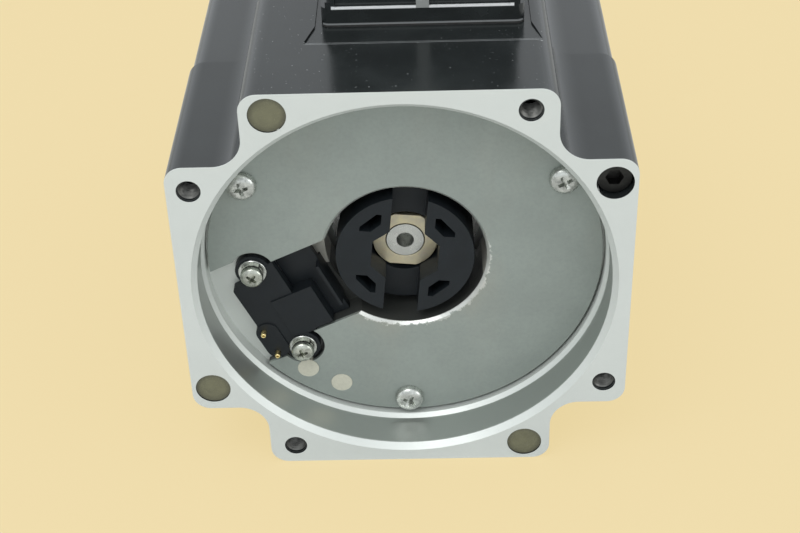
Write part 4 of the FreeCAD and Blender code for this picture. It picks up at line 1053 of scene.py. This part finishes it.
class SERVO_OT_stage(bpy.types.Operator):
    """Set up the floor, the lamps and the camera"""
    bl_idname = "servo.stage"
    bl_label = "Stage"

    def execute(self, context):
        self.floor(context)
        self.world(context)
        self.lamps()
        self.camera(context)
        context.scene.view_settings.view_transform = "Standard"
        return {"FINISHED"}

    def floor(self, context):
        """A wide floor whose colour shows as written to the camera."""
        low = CAD_BOX[0].z
        mesh = bmesh.new()
        bmesh.ops.create_grid(mesh, x_segments=1, y_segments=1, size=FLOOR_HALF)
        data = bpy.data.meshes.new("floor")
        mesh.to_mesh(data)
        mesh.free()
        floor = bpy.data.objects.new("floor", data)
        floor.location = (0, 0, low)
        shader = Shader("floor_finish", Roughness=0.9)
        colour = tuple(context.scene.servo_stage.floor)
        patches = shader.cloud(2.0, 2) * 0.1
        shader.feed("Base Color", shader.blend(patches, (0.62, 0.61, 0.58), (0.56, 0.55, 0.52)))
        tree = shader.tree
        ray = shader.node("ShaderNodeLightPath", {}, {}, "Is Camera Ray")
        glow = shader.node("ShaderNodeEmission", {}, {"Color": colour, "Strength": 1.0})
        mixed = shader.node("ShaderNodeMixShader", {}, {0: ray * FLOOR_GLOW})
        tree.links.new(shader.surface.outputs[0], mixed.socket.node.inputs[1])
        tree.links.new(glow.socket, mixed.socket.node.inputs[2])
        tree.links.new(mixed.socket, tree.nodes["Material Output"].inputs["Surface"])
        data.materials.append(shader.material)
        context.scene.collection.objects.link(floor)

    def world(self, context):
        """Soft even light; the camera sees the floor's colour beyond the floor."""
        world = bpy.data.worlds.new("studio")
        world.use_nodes = True
        tree = world.node_tree
        tree.nodes.clear()
        out = tree.nodes.new("ShaderNodeOutputWorld")
        mix = tree.nodes.new("ShaderNodeMixShader")
        path = tree.nodes.new("ShaderNodeLightPath")
        seen = tree.nodes.new("ShaderNodeBackground")
        soft = tree.nodes.new("ShaderNodeBackground")
        seen.inputs["Color"].default_value = (*context.scene.servo_stage.floor, 1)
        seen.inputs["Strength"].default_value = 1.0
        soft.inputs["Color"].default_value = SKY
        soft.inputs["Strength"].default_value = SKY_STRENGTH
        tree.links.new(path.outputs["Is Camera Ray"], mix.inputs[0])
        tree.links.new(soft.outputs[0], mix.inputs[1])
        tree.links.new(seen.outputs[0], mix.inputs[2])
        tree.links.new(mix.outputs[0], out.inputs["Surface"])
        context.scene.world = world

    def lamps(self):
        """Two weak square lamps that face the rear face."""
        self.lamp("key_lamp", *KEY_LAMP)
        self.lamp("fill_lamp", *FILL_LAMP)

    def lamp(self, name, offset, power):
        """One lamp, its place told from the middle of the rear face."""
        target = Vector((0, REAR, 0))
        place = target + offset
        data = bpy.data.lights.new(name, "AREA")
        data.shape = "SQUARE"
        data.size = LAMP_SIZE
        data.energy = power
        lamp = bpy.data.objects.new(name, data)
        lamp.location = place
        lamp.rotation_mode = "QUATERNION"
        lamp.rotation_quaternion = (target - place).to_track_quat("-Z", "Y")
        bpy.context.scene.collection.objects.link(lamp)

    def camera(self, context):
        """The camera, aimed near the middle of the rear face."""
        stage = context.scene.servo_stage
        azimuth, elevation = stage.azimuth, stage.elevation
        forward = Vector((math.sin(azimuth) * math.cos(elevation),
                          math.cos(azimuth) * math.cos(elevation), -math.sin(elevation)))
        target = Vector((AIM[0], REAR, AIM[1]))
        data = bpy.data.cameras.new("camera")
        data.lens = stage.lens
        data.sensor_width = SENSOR_WIDTH
        data.clip_start = NEAR_CLIP
        camera = bpy.data.objects.new("camera", data)
        camera.rotation_mode = "QUATERNION"
        camera.location = target - forward * stage.distance
        roll = Matrix.Rotation(-stage.roll, 4, forward).to_quaternion()
        camera.rotation_quaternion = roll @ forward.to_track_quat("-Z", "Y")
        context.scene.collection.objects.link(camera)
        context.scene.camera = camera


class SERVO_PT_panel(bpy.types.Panel):
    """Lists the motor's settings and its build steps"""
    bl_idname = "SERVO_PT_panel"
    bl_label = "Servo motor"
    bl_space_type = "VIEW_3D"
    bl_region_type = "UI"
    bl_category = "Servo motor"

    def draw(self, context):
        scene = context.scene
        for group in (scene.servo_finish, scene.servo_sizes, scene.servo_stage):
            box = self.layout.box()
            for name in group.__annotations__:
                box.prop(group, name)
        for operator in OPERATORS:
            self.layout.operator(operator.bl_idname)


OPERATORS = (SERVO_OT_inner_pieces, SERVO_OT_castings, SERVO_OT_screws, SERVO_OT_sealant,
             SERVO_OT_threads, SERVO_OT_coupling, SERVO_OT_brake_connector,
             SERVO_OT_power_connector, SERVO_OT_stage)
CLASSES = (ServoFinish, ServoSizes, ServoStage, *OPERATORS, SERVO_PT_panel)


def register():
    for item in CLASSES:
        bpy.utils.register_class(item)
    bpy.types.Scene.servo_finish = PointerProperty(type=ServoFinish)
    bpy.types.Scene.servo_sizes = PointerProperty(type=ServoSizes)
    bpy.types.Scene.servo_stage = PointerProperty(type=ServoStage)


def unregister():
    del bpy.types.Scene.servo_stage
    del bpy.types.Scene.servo_sizes
    del bpy.types.Scene.servo_finish
    for item in reversed(CLASSES):
        bpy.utils.unregister_class(item)


def main():
    register()
    for operator in OPERATORS:
        group, name = operator.bl_idname.split(".")
        getattr(getattr(bpy.ops, group), name)()


if __name__ == "__main__":
    main()
